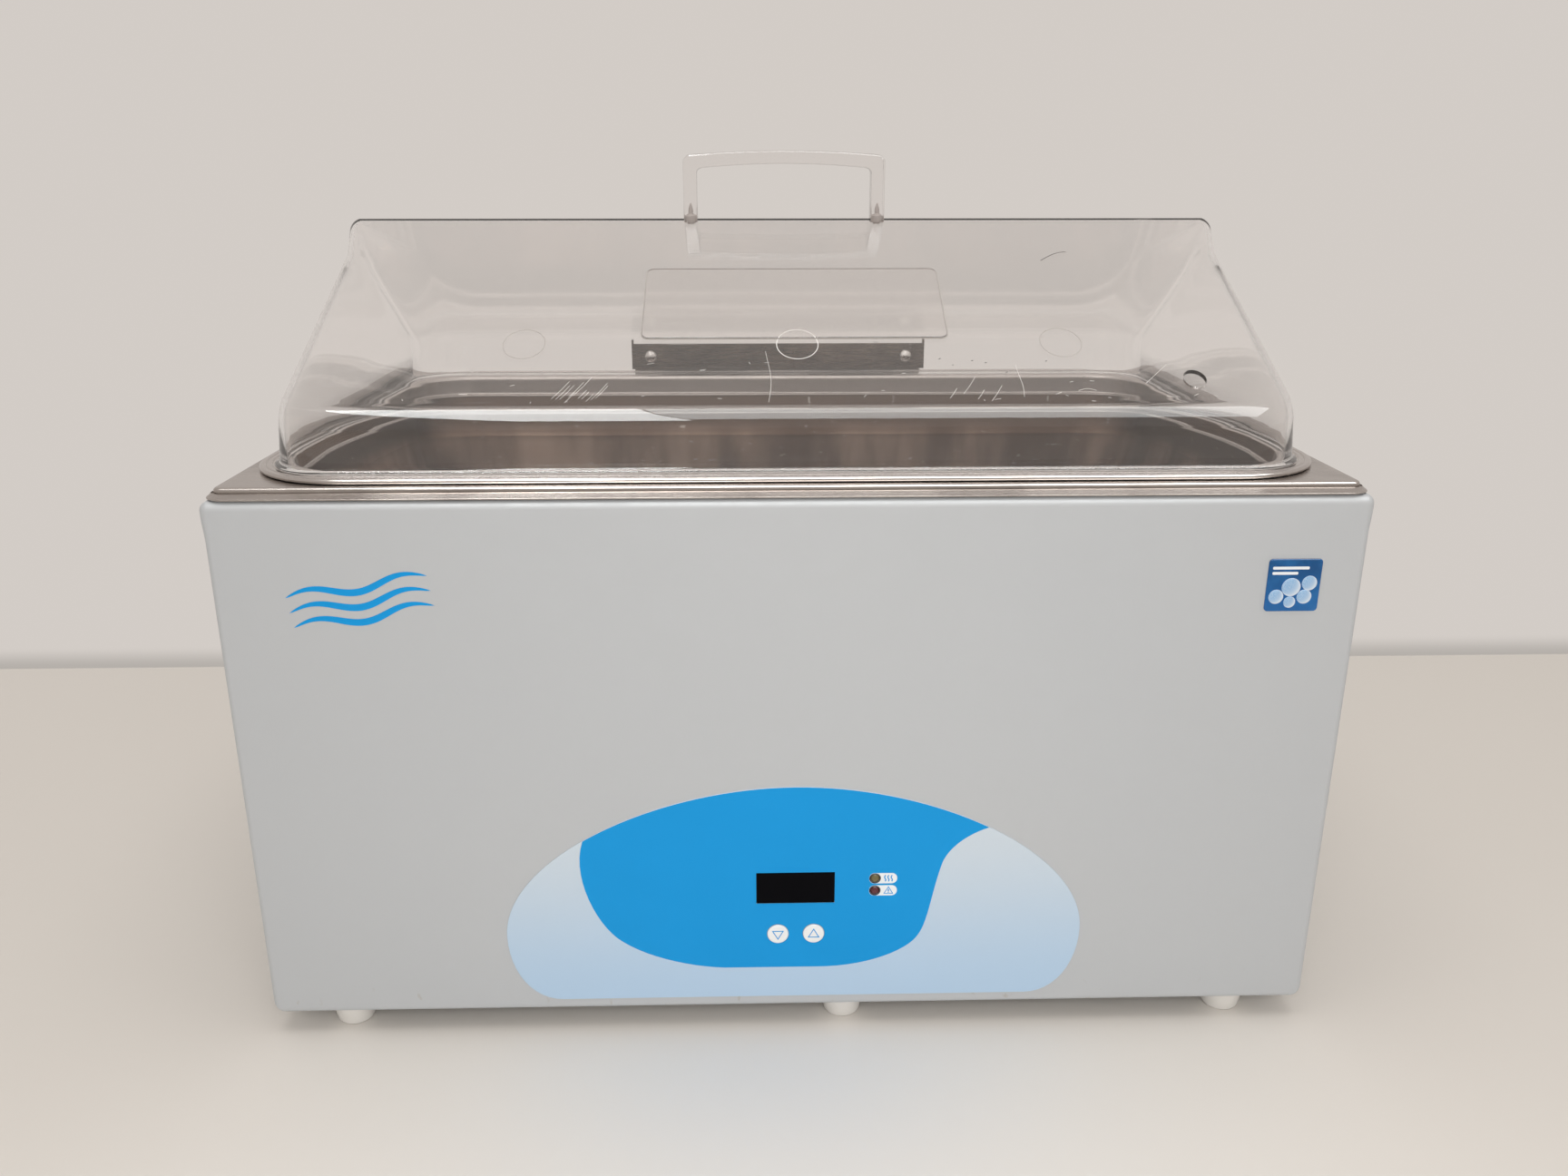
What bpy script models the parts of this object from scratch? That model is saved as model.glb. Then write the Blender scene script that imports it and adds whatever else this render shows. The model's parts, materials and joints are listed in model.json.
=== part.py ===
"""A digital laboratory water bath with a hinged, gabled clear lid.

Units are metres, +Z is up and the front faces -Y. The origin is on the table, under the middle of the
whole object's box. Depths are measured from the front face of the case towards the back, and at_depth()
turns them into Y. Each object is one separate piece of the bath.
"""

import math

import bmesh
import bpy
from mathutils import Vector

GAP = 0.0003  # left between pieces that touch

# Case: one painted steel wrapper with rolled edges, a little wider near its top, open at both ends
CASE_WIDTH = 0.5492
CASE_DEPTH = 0.350
CASE_BOTTOM = 0.0121
CASE_TOP = 0.2894
CASE_WALL = 0.0012
CASE_CORNER = 0.0045
CASE_ROLL = 0.0045
CASE_FOOT_ROLL = 0.003
CASE_FLARE = 0.0011
CASE_FLARE_LOW = 0.020
CASE_FLARE_HIGH = 0.0085
CASE_TOP_FLANGE = 0.012
CASE_BOTTOM_FLANGE = 0.027

# Steel top plate: a flange on the case, then a step up to the flat top
PLATE_WALL = 0.001
PLATE_FLANGE_SIDE = 0.0016
PLATE_FLANGE_FRONT = 0.0008
PLATE_FLANGE_CORNER = 0.010
PLATE_STEP_SIDE = 0.0043
PLATE_STEP_FRONT = 0.0082
PLATE_STEP_CORNER = 0.004
PLATE_TOP = 0.2942

# Tank: a pressed pan that hangs by its rim in the top plate
RIM_WIDTH = 0.530
RIM_DEPTH = 0.325
RIM_CORNER = 0.052
RIM_TOP = 0.2970
TANK_WALL = 0.001
TANK_OPENING_INSET = 0.0155
TANK_OPENING_CORNER = 0.037
TANK_SHOULDER = 0.0027
TANK_TAPER = 0.004
TANK_FLOOR = 0.0970
TANK_FLOOR_RADIUS = 0.024
DRAIN_X = -0.150
DRAIN_DEPTH = 0.262
DRAIN_HOLE_RADIUS = 0.0045

# Lid: a moulded clear gable that stands on the tank's rim
LID_HALF_LENGTH = 0.2515
LID_RIDGE_HALF_LENGTH = 0.2430
LID_HALF_DEPTH = 0.1525
LID_CENTRE_DEPTH = 0.1755
LID_CORNER = 0.030
LID_WALL = 0.003
LID_FOOT = 0.2973
LID_LIP = 0.0025
LID_KNEE = 0.3255
LID_KNEE_RADIUS = 0.009
LID_SLOPE = math.radians(28.8)
LID_RIDGE_RADIUS = 0.009
THERMOMETER_X = 0.200
THERMOMETER_UP_SLOPE = 0.026
THERMOMETER_RADIUS = 0.0053

# Handle on the ridge
HANDLE_HALF_SPAN = 0.0525
HANDLE_POST = 0.0075
HANDLE_DEPTH = 0.012
HANDLE_GRIP = 0.0070
HANDLE_RISE = 0.0025
HANDLE_TOP = 0.4451

# Lid hinge, behind the rear skirt of the lid
HINGE_DEPTH = 0.3365
HINGE_Z = 0.3045
HINGE_HALF_WIDTH = 0.103
HINGE_SHEET = 0.0012
KNUCKLE_RADIUS = 0.0030
PIN_RADIUS = 0.0015
PIN_BORE_RADIUS = 0.0016
LID_KNUCKLES = ((-0.0550, 0.0098), (0.0550, 0.0098))
BATH_KNUCKLES = ((-0.0740, 0.0088), (-0.0335, 0.0112), (0.0335, 0.0112), (0.0740, 0.0088))
LEAF_SCREW_X = 0.0895
LEAF_SCREW_Z = 0.3100
BRACKET_SCREW_X = 0.075
BRACKET_SCREW_Z = 0.272

# Control panel on the front
FASCIA_X = 0.0012
FASCIA_HALF_WIDTH = 0.1492
FASCIA_BOTTOM = 0.0187
FASCIA_WIDEST = 0.0574
FASCIA_TOP = 0.1415
FASCIA_FLAT_HALF = 0.122
FASCIA_THICKNESS = 0.0005
DISPLAY_X = 0.0014
DISPLAY_Z = 0.0839
DISPLAY_WIDTH = 0.0398
DISPLAY_HEIGHT = 0.0173
BUTTON_Z = 0.0568
BUTTON_DOWN_X = -0.0077
BUTTON_UP_X = 0.0109
BUTTON_RADIUS = 0.0055
BUTTON_PROUD = 0.0013
LAMP_X = 0.0423
HEATER_LAMP_Z = 0.0889
ALARM_LAMP_Z = 0.0818
LAMP_RADIUS = 0.0024
BOARD_DEPTH = 0.0100
BOARD_THICKNESS = 0.0016
STUD_PLACES = ((-0.040, 0.048), (0.055, 0.048), (-0.040, 0.100), (0.055, 0.100))

# Feet and the screws of the base plate
FOOT_XS = (-0.2355, 0.0272, 0.2356)
FOOT_INSET = 0.0150
FOOT_TOP_RADIUS = 0.012
FOOT_TREAD_RADIUS = 0.0095
FOOT_STEM_RADIUS = 0.0042
BASE_SCREW_X = 0.262
BASE_SCREW_DEPTHS = (0.090, 0.260)

# Rear power entry and drain tap
ENTRY_X = 0.170
ENTRY_Z = 0.0580
ENTRY_HALF_WIDTH = 0.0155
ENTRY_HALF_HEIGHT = 0.0290
SOCKET_Z = 0.0430
FUSE_Z = 0.0590
ROCKER_Z = 0.0755
ROCKER_TILT = math.radians(8)
ROCKER_PIVOT_DEPTH = 0.3460
TAP_Z = 0.0500
TAP_PLUG_DEPTH = 0.3620
TAP_PLUG_RADIUS = 0.0055
TAP_REACH = 0.034

CASE_FRONT = (BUTTON_PROUD - CASE_DEPTH - TAP_REACH) / 2
INSIDE_TOP = CASE_BOTTOM + CASE_WALL


def at_depth(depth):
    """Y of a point this far behind the front face of the case."""
    return CASE_FRONT + depth


MIDDLE = at_depth(CASE_DEPTH / 2)
LID_MIDDLE = at_depth(LID_CENTRE_DEPTH)
AXIS = {"X": Vector((1, 0, 0)), "Y": Vector((0, 1, 0)), "Z": Vector((0, 0, 1))}


# Materials


def material(name, colour, roughness, metallic=0.0, alpha=1.0):
    made = bpy.data.materials.new(name)
    made.use_nodes = True
    shader = made.node_tree.nodes["Principled BSDF"]
    shader.inputs["Base Color"].default_value = (*colour, 1.0)
    shader.inputs["Roughness"].default_value = roughness
    shader.inputs["Metallic"].default_value = metallic
    shader.inputs["Alpha"].default_value = alpha
    made.diffuse_color = (*colour, alpha)
    return made


def make_materials():
    return {
        "case_paint": material("case_paint", (0.52, 0.54, 0.52), 0.45),
        "steel": material("steel", (0.62, 0.58, 0.55), 0.25, 1.0),
        "zinc": material("zinc", (0.60, 0.61, 0.62), 0.4, 1.0),
        "heatsink": material("heatsink", (0.55, 0.56, 0.57), 0.5, 1.0),
        "lid_plastic": material("lid_plastic", (0.90, 0.88, 0.87), 0.08, 0.0, 0.25),
        "foot_rubber": material("foot_rubber", (0.80, 0.79, 0.77), 0.6),
        "fascia": material("fascia", (0.02, 0.29, 0.68), 0.4),
        "window": material("window", (0.01, 0.01, 0.012), 0.1),
        "button": material("button", (0.90, 0.91, 0.92), 0.4),
        "lamp": material("lamp", (0.20, 0.12, 0.05), 0.25),
        "black_plastic": material("black_plastic", (0.02, 0.02, 0.022), 0.45),
        "badge": material("badge", (0.03, 0.22, 0.55), 0.2),
        "circuit_board": material("circuit_board", (0.02, 0.18, 0.07), 0.5),
        "insulation": material("insulation", (0.72, 0.69, 0.60), 0.95),
        "silicone": material("silicone", (0.45, 0.12, 0.06), 0.7),
        "brass": material("brass", (0.70, 0.52, 0.22), 0.35, 1.0),
        "wire": material("wire", (0.50, 0.10, 0.06), 0.5),
    }


# Mesh helpers


def link(name, mesh, finish):
    mesh.name = name
    thing = bpy.data.objects.new(name, mesh)
    bpy.context.scene.collection.objects.link(thing)
    mesh.materials.append(finish)
    mesh.shade_smooth()
    mesh.set_sharp_from_angle(angle=math.radians(30))
    return thing


def mesh_from(points, faces):
    """A closed mesh with its faces turned outwards."""
    mesh = bpy.data.meshes.new("made")
    mesh.from_pydata([tuple(point) for point in points], [], faces)
    work = bmesh.new()
    work.from_mesh(mesh)
    bmesh.ops.recalc_face_normals(work, faces=work.faces)
    if work.calc_volume(signed=True) < 0:
        bmesh.ops.reverse_faces(work, faces=work.faces)
    work.to_mesh(mesh)
    work.free()
    return mesh


def rounded_outline(half_x, half_y, radius, steps):
    """Points of a rounded rectangle round the origin, anticlockwise, steps + 1 on each corner."""
    corners = ((1, 1, 0), (-1, 1, 90), (-1, -1, 180), (1, -1, 270))
    points = []
    for side_x, side_y, start in corners:
        for step in range(steps + 1):
            turn = math.radians(start + 90 * step / steps)
            x = side_x * (half_x - radius) + radius * math.cos(turn)
            y = side_y * (half_y - radius) + radius * math.sin(turn)
            points.append((x, y))
    return points


def level(half_x, half_y, radius, z, middle_y, steps=6):
    """One horizontal ring of a loft."""
    outline = rounded_outline(half_x, half_y, radius, steps)
    return [Vector((x, middle_y + y, z)) for x, y in outline]


def loft(name, rings, finish, closed):
    """A skin through rings of equal size. A closed one joins its last ring to its first."""
    count = len(rings[0])
    points = [point for ring in rings for point in ring]
    faces = []
    joins = len(rings) if closed else len(rings) - 1
    for first in range(joins):
        second = (first + 1) % len(rings)
        for k in range(count):
            following = (k + 1) % count
            corners = (first, k), (first, following), (second, following), (second, k)
            faces.append([ring * count + index for ring, index in corners])
    if not closed:
        faces.append(list(range(count))[::-1])
        faces.append(list(range((len(rings) - 1) * count, len(rings) * count)))
    return link(name, mesh_from(points, faces), finish)


def prism(name, outline, place, along, finish):
    """An outline of (u, v) pairs, put in space by place(u, v), and extruded by the vector along."""
    near = [Vector(place(u, v)) for u, v in outline]
    far = [point + along for point in near]
    return loft(name, [near, far], finish, closed=False)


def box(name, low, high, finish, bevel=0.0):
    """A box between two corners, with depths already turned into Y."""
    outline = ((low[0], low[1]), (high[0], low[1]), (high[0], high[1]), (low[0], high[1]))
    rise = Vector((0, 0, high[2] - low[2]))
    made = prism(name, outline, lambda x, y: (x, y, low[2]), rise, finish)
    if bevel:
        round_edges(made, bevel)
    return made


def round_edges(thing, width, segments=2):
    edge = thing.modifiers.new("round_edges", "BEVEL")
    edge.width = width
    edge.segments = segments
    edge.limit_method = "ANGLE"
    edge.angle_limit = math.radians(40)
    return edge


def turned(name, origin, axis, profile, finish, segments=24, hollow=False):
    """A profile of (radius, distance along the axis) turned round an axis from origin.

    A solid profile is capped at both ends. A hollow one is a closed loop that stays clear of the axis.
    """
    along = AXIS[axis]
    side = AXIS["XYZ"[("XYZ".index(axis) + 1) % 3]]
    other = along.cross(side)
    rings = []
    for radius, distance in profile:
        ring = []
        for k in range(segments):
            turn = 2 * math.pi * (k + 0.5) / segments
            spoke = side * math.cos(turn) + other * math.sin(turn)
            ring.append(Vector(origin) + along * distance + spoke * radius)
        rings.append(ring)
    return loft(name, rings, finish, closed=hollow)


def cutter(thing):
    thing.hide_render = True
    thing.display_type = "WIRE"
    return thing


def boolean(thing, other, operation):
    cut = thing.modifiers.new(other.name, "BOOLEAN")
    cut.operation = operation
    cut.solver = "EXACT"
    cut.object = cutter(other)
    return thing


def cut(thing, *others):
    for other in others:
        boolean(thing, other, "DIFFERENCE")


def add(thing, *others):
    for other in others:
        boolean(thing, other, "UNION")


def drill(thing, name, origin, axis, radius, length, segments=20):
    """A round hole from origin, that far along the axis."""
    tool = turned(
        f"{name}_cutter", origin, axis, ((radius, 0), (radius, length)), thing.data.materials[0], segments
    )
    cut(thing, tool)


def slot(thing, name, low, high):
    cut(thing, box(f"{name}_cutter", low, high, thing.data.materials[0]))


def cable(name, route, radius, finish, samples=18):
    """A round cable along a smooth curve through the route's points."""
    knots = [Vector(point) for point in route]
    ends = [2 * knots[0] - knots[1], *knots, 2 * knots[-1] - knots[-2]]
    spans = len(knots) - 1
    points = []
    for k in range(samples + 1):
        place = min(k * spans / samples, spans - 1e-6)
        span = int(place)
        t = place - span
        a, b, c, d = ends[span : span + 4]
        square = (2 * a - 5 * b + 4 * c - d) * t**2
        cube = (3 * b - a - 3 * c + d) * t**3
        points.append((2 * b + (c - a) * t + square + cube) / 2)
    curve = bpy.data.curves.new(name, "CURVE")
    curve.dimensions = "3D"
    curve.bevel_depth = radius
    curve.bevel_resolution = 2
    curve.use_fill_caps = True
    spline = curve.splines.new("POLY")
    spline.points.add(len(points) - 1)
    for spline_point, point in zip(spline.points, points):
        spline_point.co = (*point, 1)
    curve.materials.append(finish)
    thing = bpy.data.objects.new(name, curve)
    bpy.context.scene.collection.objects.link(thing)
    return thing


def bezier(a, b, c, d, steps):
    """Points of a cubic curve, without its last one."""
    points = []
    for k in range(steps):
        t = k / steps
        weights = ((1 - t) ** 3, 3 * t * (1 - t) ** 2, 3 * t**2 * (1 - t), t**3)
        points.append(tuple(sum(w * p[i] for w, p in zip(weights, (a, b, c, d))) for i in (0, 1)))
    return points


# Case, base and feet


def make_case(finish):
    """The wrapper: an outer skin with rolled edges, and its inner skin one wall thickness inside."""
    half_x = CASE_WIDTH / 2
    half_y = CASE_DEPTH / 2
    rings = []

    def add_level(inset, z, flare=CASE_FLARE):
        radius = max(CASE_CORNER - inset, 0.0015)
        rings.append(level(half_x - flare - inset, half_y - inset, radius, z, MIDDLE, steps=4))

    add_level(CASE_BOTTOM_FLANGE, CASE_BOTTOM)
    for turn in (90, 60, 30, 0):
        inset = CASE_FOOT_ROLL * (1 - math.cos(math.radians(turn)))
        add_level(inset, CASE_BOTTOM + CASE_FOOT_ROLL * (1 - math.sin(math.radians(turn))))
    add_level(0, CASE_TOP - CASE_FLARE_LOW)
    add_level(0, CASE_TOP - CASE_FLARE_HIGH, 0)
    for turn in (0, 30, 60, 90):
        inset = CASE_ROLL * (1 - math.cos(math.radians(turn)))
        add_level(inset, CASE_TOP - CASE_ROLL * (1 - math.sin(math.radians(turn))), 0)
    add_level(CASE_TOP_FLANGE, CASE_TOP, 0)
    add_level(CASE_TOP_FLANGE, CASE_TOP - CASE_WALL, 0)
    inner_roll = CASE_ROLL - CASE_WALL
    for turn in (90, 0):
        inset = CASE_WALL + inner_roll * (1 - math.cos(math.radians(turn)))
        add_level(inset, CASE_TOP - CASE_WALL - inner_roll * (1 - math.sin(math.radians(turn))), 0)
    add_level(CASE_WALL, CASE_TOP - CASE_FLARE_HIGH, 0)
    add_level(CASE_WALL, CASE_TOP - CASE_FLARE_LOW)
    inner_roll = CASE_FOOT_ROLL - CASE_WALL
    for turn in (0, 90):
        inset = CASE_WALL + inner_roll * (1 - math.cos(math.radians(turn)))
        add_level(inset, INSIDE_TOP + inner_roll * (1 - math.sin(math.radians(turn))))
    add_level(CASE_BOTTOM_FLANGE, INSIDE_TOP)
    case = loft("outer_case", rings, finish, closed=True)

    stud_start = CASE_WALL - 0.0004
    shoulder = BOARD_DEPTH - GAP - stud_start
    stud = ((0.0026, 0.0), (0.0026, shoulder), (0.0013, shoulder), (0.0013, shoulder + 0.0045))
    for number, (x, z) in enumerate(STUD_PLACES, 1):
        add(case, turned(f"board_stud_{number}", (x, at_depth(stud_start), z), "Y", stud, finish, 10))
    front = at_depth(-0.005)
    through = 0.010
    slot(
        case,
        "display_opening",
        (DISPLAY_X - DISPLAY_WIDTH / 2 - GAP, front, DISPLAY_Z - DISPLAY_HEIGHT / 2 - GAP),
        (DISPLAY_X + DISPLAY_WIDTH / 2 + GAP, front + through, DISPLAY_Z + DISPLAY_HEIGHT / 2 + GAP),
    )
    for name, x in (("button_down", BUTTON_DOWN_X), ("button_up", BUTTON_UP_X)):
        drill(case, f"{name}_opening", (x, front, BUTTON_Z), "Y", 0.0024, through, 16)
    for name, z in (("heater_lamp", HEATER_LAMP_Z), ("alarm_lamp", ALARM_LAMP_Z)):
        drill(case, f"{name}_opening", (LAMP_X, front, z), "Y", LAMP_RADIUS + GAP, through, 16)
    back = at_depth(CASE_DEPTH - 0.005)
    slot(
        case,
        "entry_opening",
        (ENTRY_X - ENTRY_HALF_WIDTH + 0.0012, back, ENTRY_Z - ENTRY_HALF_HEIGHT + 0.0012),
        (ENTRY_X + ENTRY_HALF_WIDTH - 0.0012, back + through, ENTRY_Z + ENTRY_HALF_HEIGHT - 0.0012),
    )
    drill(case, "drain_opening", (DRAIN_X, back, TAP_Z), "Y", 0.0068, through)
    for side in (-1, 1):
        drill(
            case,
            f"bracket_hole_{side}",
            (side * BRACKET_SCREW_X, back, BRACKET_SCREW_Z),
            "Y",
            0.0022,
            through,
            12,
        )
    for number, (x, y) in enumerate(foot_places(), 1):
        drill(
            case,
            f"case_foot_hole_{number}",
            (x, y, CASE_BOTTOM - 0.002),
            "Z",
            FOOT_STEM_RADIUS + GAP,
            0.005,
            16,
        )
    for number, (x, y) in enumerate(base_screw_places(), 1):
        drill(case, f"case_screw_hole_{number}", (x, y, CASE_BOTTOM - 0.002), "Z", 0.0020, 0.005, 12)
    return case


def foot_places():
    depths = (FOOT_INSET, CASE_DEPTH - FOOT_INSET)
    return [(x, at_depth(depth)) for depth in depths for x in FOOT_XS]


def base_screw_places():
    return [(side * BASE_SCREW_X, at_depth(depth)) for depth in BASE_SCREW_DEPTHS for side in (-1, 1)]


def make_base_plate(finish):
    """A flat plate on the inner flange of the case, with vents, and bosses for the power board."""
    low = INSIDE_TOP + GAP
    outline = rounded_outline(CASE_WIDTH / 2 - 0.0060, CASE_DEPTH / 2 - 0.0060, 0.004, 2)
    plate = prism("base_plate", outline, lambda x, y: (x, MIDDLE + y, low), Vector((0, 0, 0.0012)), finish)
    for number, (x, y) in enumerate(power_board_corners(), 1):
        boss = turned(
            f"board_boss_{number}", (x, y, low + 0.0004), "Z", ((0.003, 0), (0.003, 0.0100)), finish, 12
        )
        add(plate, boss)
    for number, (x, y) in enumerate(foot_places(), 1):
        drill(plate, f"foot_hole_{number}", (x, y, low - 0.001), "Z", FOOT_STEM_RADIUS + GAP, 0.004, 16)
    for number, (x, y) in enumerate(base_screw_places(), 1):
        drill(plate, f"screw_hole_{number}", (x, y, low - 0.001), "Z", 0.0020, 0.004, 12)
    for number in range(8):
        x = 0.085 + 0.012 * number
        slot(
            plate,
            f"vent_{number}",
            (x, at_depth(0.230), low - 0.001),
            (x + 0.004, at_depth(0.290), low + 0.003),
        )
    return plate


def power_board_corners():
    return [(x, at_depth(depth)) for x in (0.035, 0.135) for depth in (0.100, 0.160)]


def make_feet(finish):
    """Tapered feet whose stems snap through the flange and the base plate."""
    stem_top = INSIDE_TOP + GAP + 0.0012 + GAP
    profile = (
        (FOOT_TREAD_RADIUS, 0.0),
        (FOOT_TREAD_RADIUS + 0.0007, 0.0010),
        (FOOT_TOP_RADIUS, CASE_BOTTOM - GAP),
        (FOOT_STEM_RADIUS, CASE_BOTTOM - GAP),
        (FOOT_STEM_RADIUS, stem_top),
        (FOOT_STEM_RADIUS + 0.0014, stem_top),
        (FOOT_STEM_RADIUS - 0.0010, stem_top + 0.0035),
    )
    for number, (x, y) in enumerate(foot_places(), 1):
        turned(f"foot_{number}", (x, y, 0), "Z", profile, finish, 16)


def make_base_screws(finish):
    head_bottom = CASE_BOTTOM - GAP - 0.0018
    profile = (
        (0.0020, 0.0),
        (0.0034, 0.0008),
        (0.0034, 0.0018),
        (0.0016, 0.0018),
        (0.0016, 0.0080),
    )
    for number, (x, y) in enumerate(base_screw_places(), 1):
        turned(f"base_screw_{number}", (x, y, head_bottom), "Z", profile, finish, 12)


# Steel top and tank


def plate_level(inset_side, inset_end, corner, z):
    return level(CASE_WIDTH / 2 - inset_side, CASE_DEPTH / 2 - inset_end, corner, z, MIDDLE, steps=5)


def make_top_plate(finish):
    """The pressed top: flange, fillet, upright step, rounded edge and flat, down to the tank's opening."""
    flange_top = CASE_TOP + GAP + PLATE_WALL
    side, front = PLATE_STEP_SIDE, PLATE_STEP_FRONT
    corner = PLATE_STEP_CORNER
    opening_x = CASE_WIDTH / 2 - RIM_WIDTH / 2 + TANK_OPENING_INSET - 0.003
    opening_y = CASE_DEPTH / 2 - RIM_DEPTH / 2 + TANK_OPENING_INSET - 0.003
    wall = PLATE_WALL
    rings = [
        plate_level(PLATE_FLANGE_SIDE, PLATE_FLANGE_FRONT, PLATE_FLANGE_CORNER, flange_top - wall),
        plate_level(PLATE_FLANGE_SIDE, PLATE_FLANGE_FRONT, PLATE_FLANGE_CORNER, flange_top),
        plate_level(side - 0.0006, front - 0.0006, corner + 0.0006, flange_top),
        plate_level(side, front, corner, flange_top + 0.0006),
        plate_level(side, front, corner, PLATE_TOP - 0.0012),
        plate_level(side + 0.0004, front + 0.0004, corner, PLATE_TOP - 0.0004),
        plate_level(side + 0.0012, front + 0.0012, corner, PLATE_TOP),
        plate_level(opening_x, opening_y, TANK_OPENING_CORNER + 0.001, PLATE_TOP),
        plate_level(opening_x, opening_y, TANK_OPENING_CORNER + 0.001, PLATE_TOP - wall),
        plate_level(side + wall + 0.0008, front + wall + 0.0008, corner, PLATE_TOP - wall),
        plate_level(side + wall, front + wall, corner, PLATE_TOP - wall - 0.0008),
        plate_level(side + wall, front + wall, corner, flange_top - wall),
    ]
    return loft("top_plate", rings, finish, closed=True)


def tank_level(inset, z, corner):
    return level(RIM_WIDTH / 2 - inset, RIM_DEPTH / 2 - inset, corner, z, MIDDLE, steps=6)


def make_tank(finish):
    """The pan, as one loft from the floor's underside, over the rim, to the floor's inside."""
    opening = TANK_OPENING_INSET
    shoulder = opening + TANK_SHOULDER
    wall_bottom = shoulder + TANK_TAPER
    collar_bottom = RIM_TOP - 0.0110
    inner = [
        (0.0008, RIM_TOP - 0.0025),
        (0.0, RIM_TOP - 0.0017),
        (0.0, RIM_TOP - 0.0010),
        (0.0010, RIM_TOP),
        (opening - 0.0040, RIM_TOP),
        (opening - 0.0012, RIM_TOP - 0.0011),
        (opening, RIM_TOP - 0.0040),
        (opening, collar_bottom),
        (shoulder - 0.0006, collar_bottom - 0.0012),
        (shoulder, collar_bottom - 0.0026),
    ]
    for turn in (0, 30, 60, 90):
        inset = wall_bottom + TANK_FLOOR_RADIUS * (1 - math.cos(math.radians(turn)))
        inner.append((inset, TANK_FLOOR + TANK_FLOOR_RADIUS * (1 - math.sin(math.radians(turn)))))
    wall = TANK_WALL
    outer = [(0.0020, RIM_TOP - 0.0025), (0.0020, RIM_TOP - wall), (opening - 0.0044, RIM_TOP - wall)]
    outer += [
        (opening - 0.0020, RIM_TOP - 0.0021),
        (opening - wall, RIM_TOP - 0.0042),
        (opening - wall, collar_bottom - 0.0004),
        (shoulder - wall - 0.0004, collar_bottom - 0.0018),
        (shoulder - wall, collar_bottom - 0.0030),
    ]
    for turn in (0, 30, 60, 90):
        radius = TANK_FLOOR_RADIUS + wall
        inset = wall_bottom - wall + radius * (1 - math.cos(math.radians(turn)))
        outer.append((inset, TANK_FLOOR + TANK_FLOOR_RADIUS - radius * math.sin(math.radians(turn))))
    rings = [tank_level(inset, z, tank_corner(inset)) for inset, z in outer[::-1] + inner]
    tank = loft("tank", rings, finish, closed=False)
    drill(
        tank,
        "tank_drain_hole",
        (DRAIN_X, at_depth(DRAIN_DEPTH), TANK_FLOOR - 0.005),
        "Z",
        DRAIN_HOLE_RADIUS,
        0.010,
    )
    return tank


def tank_corner(inset):
    """The plan radius narrows evenly from the rim's edge to the opening, and then with the inset."""
    share = min(inset / TANK_OPENING_INSET, 1)
    beyond = max(inset - TANK_OPENING_INSET, 0)
    return RIM_CORNER + (TANK_OPENING_CORNER - RIM_CORNER) * share - beyond * 0.8


def make_rim_seal(finish):
    """A bead of sealant between the rim and the top plate."""
    rings = []
    for inset, z in (
        (0.0050, PLATE_TOP + GAP),
        (0.0050, RIM_TOP - TANK_WALL - GAP),
        (0.0105, RIM_TOP - TANK_WALL - GAP),
        (0.0105, PLATE_TOP + GAP),
    ):
        rings.append(tank_level(inset, z, tank_corner(inset)))
    return loft("rim_seal", rings, finish, closed=True)


def make_shelf(finish):
    """A slotted tray with turned-down edges, which keeps vessels off the heated floor."""
    half_x, half_y = 0.205, 0.105
    top = TANK_FLOOR + 0.020
    rings = [
        level(half_x - 0.001, half_y - 0.001, 0.011, TANK_FLOOR + GAP, MIDDLE, 3),
        level(half_x, half_y, 0.012, TANK_FLOOR + GAP, MIDDLE, 3),
        level(half_x, half_y, 0.012, top - 0.0015, MIDDLE, 3),
        level(half_x - 0.0015, half_y - 0.0015, 0.0105, top, MIDDLE, 3),
        level(0.002, 0.002, 0.0010, top, MIDDLE, 3),
        level(0.002, 0.002, 0.0010, top - 0.001, MIDDLE, 3),
        level(half_x - 0.0020, half_y - 0.0020, 0.0100, top - 0.001, MIDDLE, 3),
        level(half_x - 0.001, half_y - 0.001, 0.011, top - 0.002, MIDDLE, 3),
    ]
    shelf = loft("perforated_shelf", rings, finish, closed=True)
    columns, rows = 7, 3
    for column in range(columns):
        for row in range(rows):
            x = (column - (columns - 1) / 2) * 0.052
            y = MIDDLE + (row - (rows - 1) / 2) * 0.062
            slot(
                shelf,
                f"shelf_slot_{column}_{row}",
                (x - 0.018, y - 0.010, top - 0.004),
                (x + 0.018, y + 0.010, top + 0.002),
            )
    return shelf


# Heating, insulation and electronics


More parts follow.
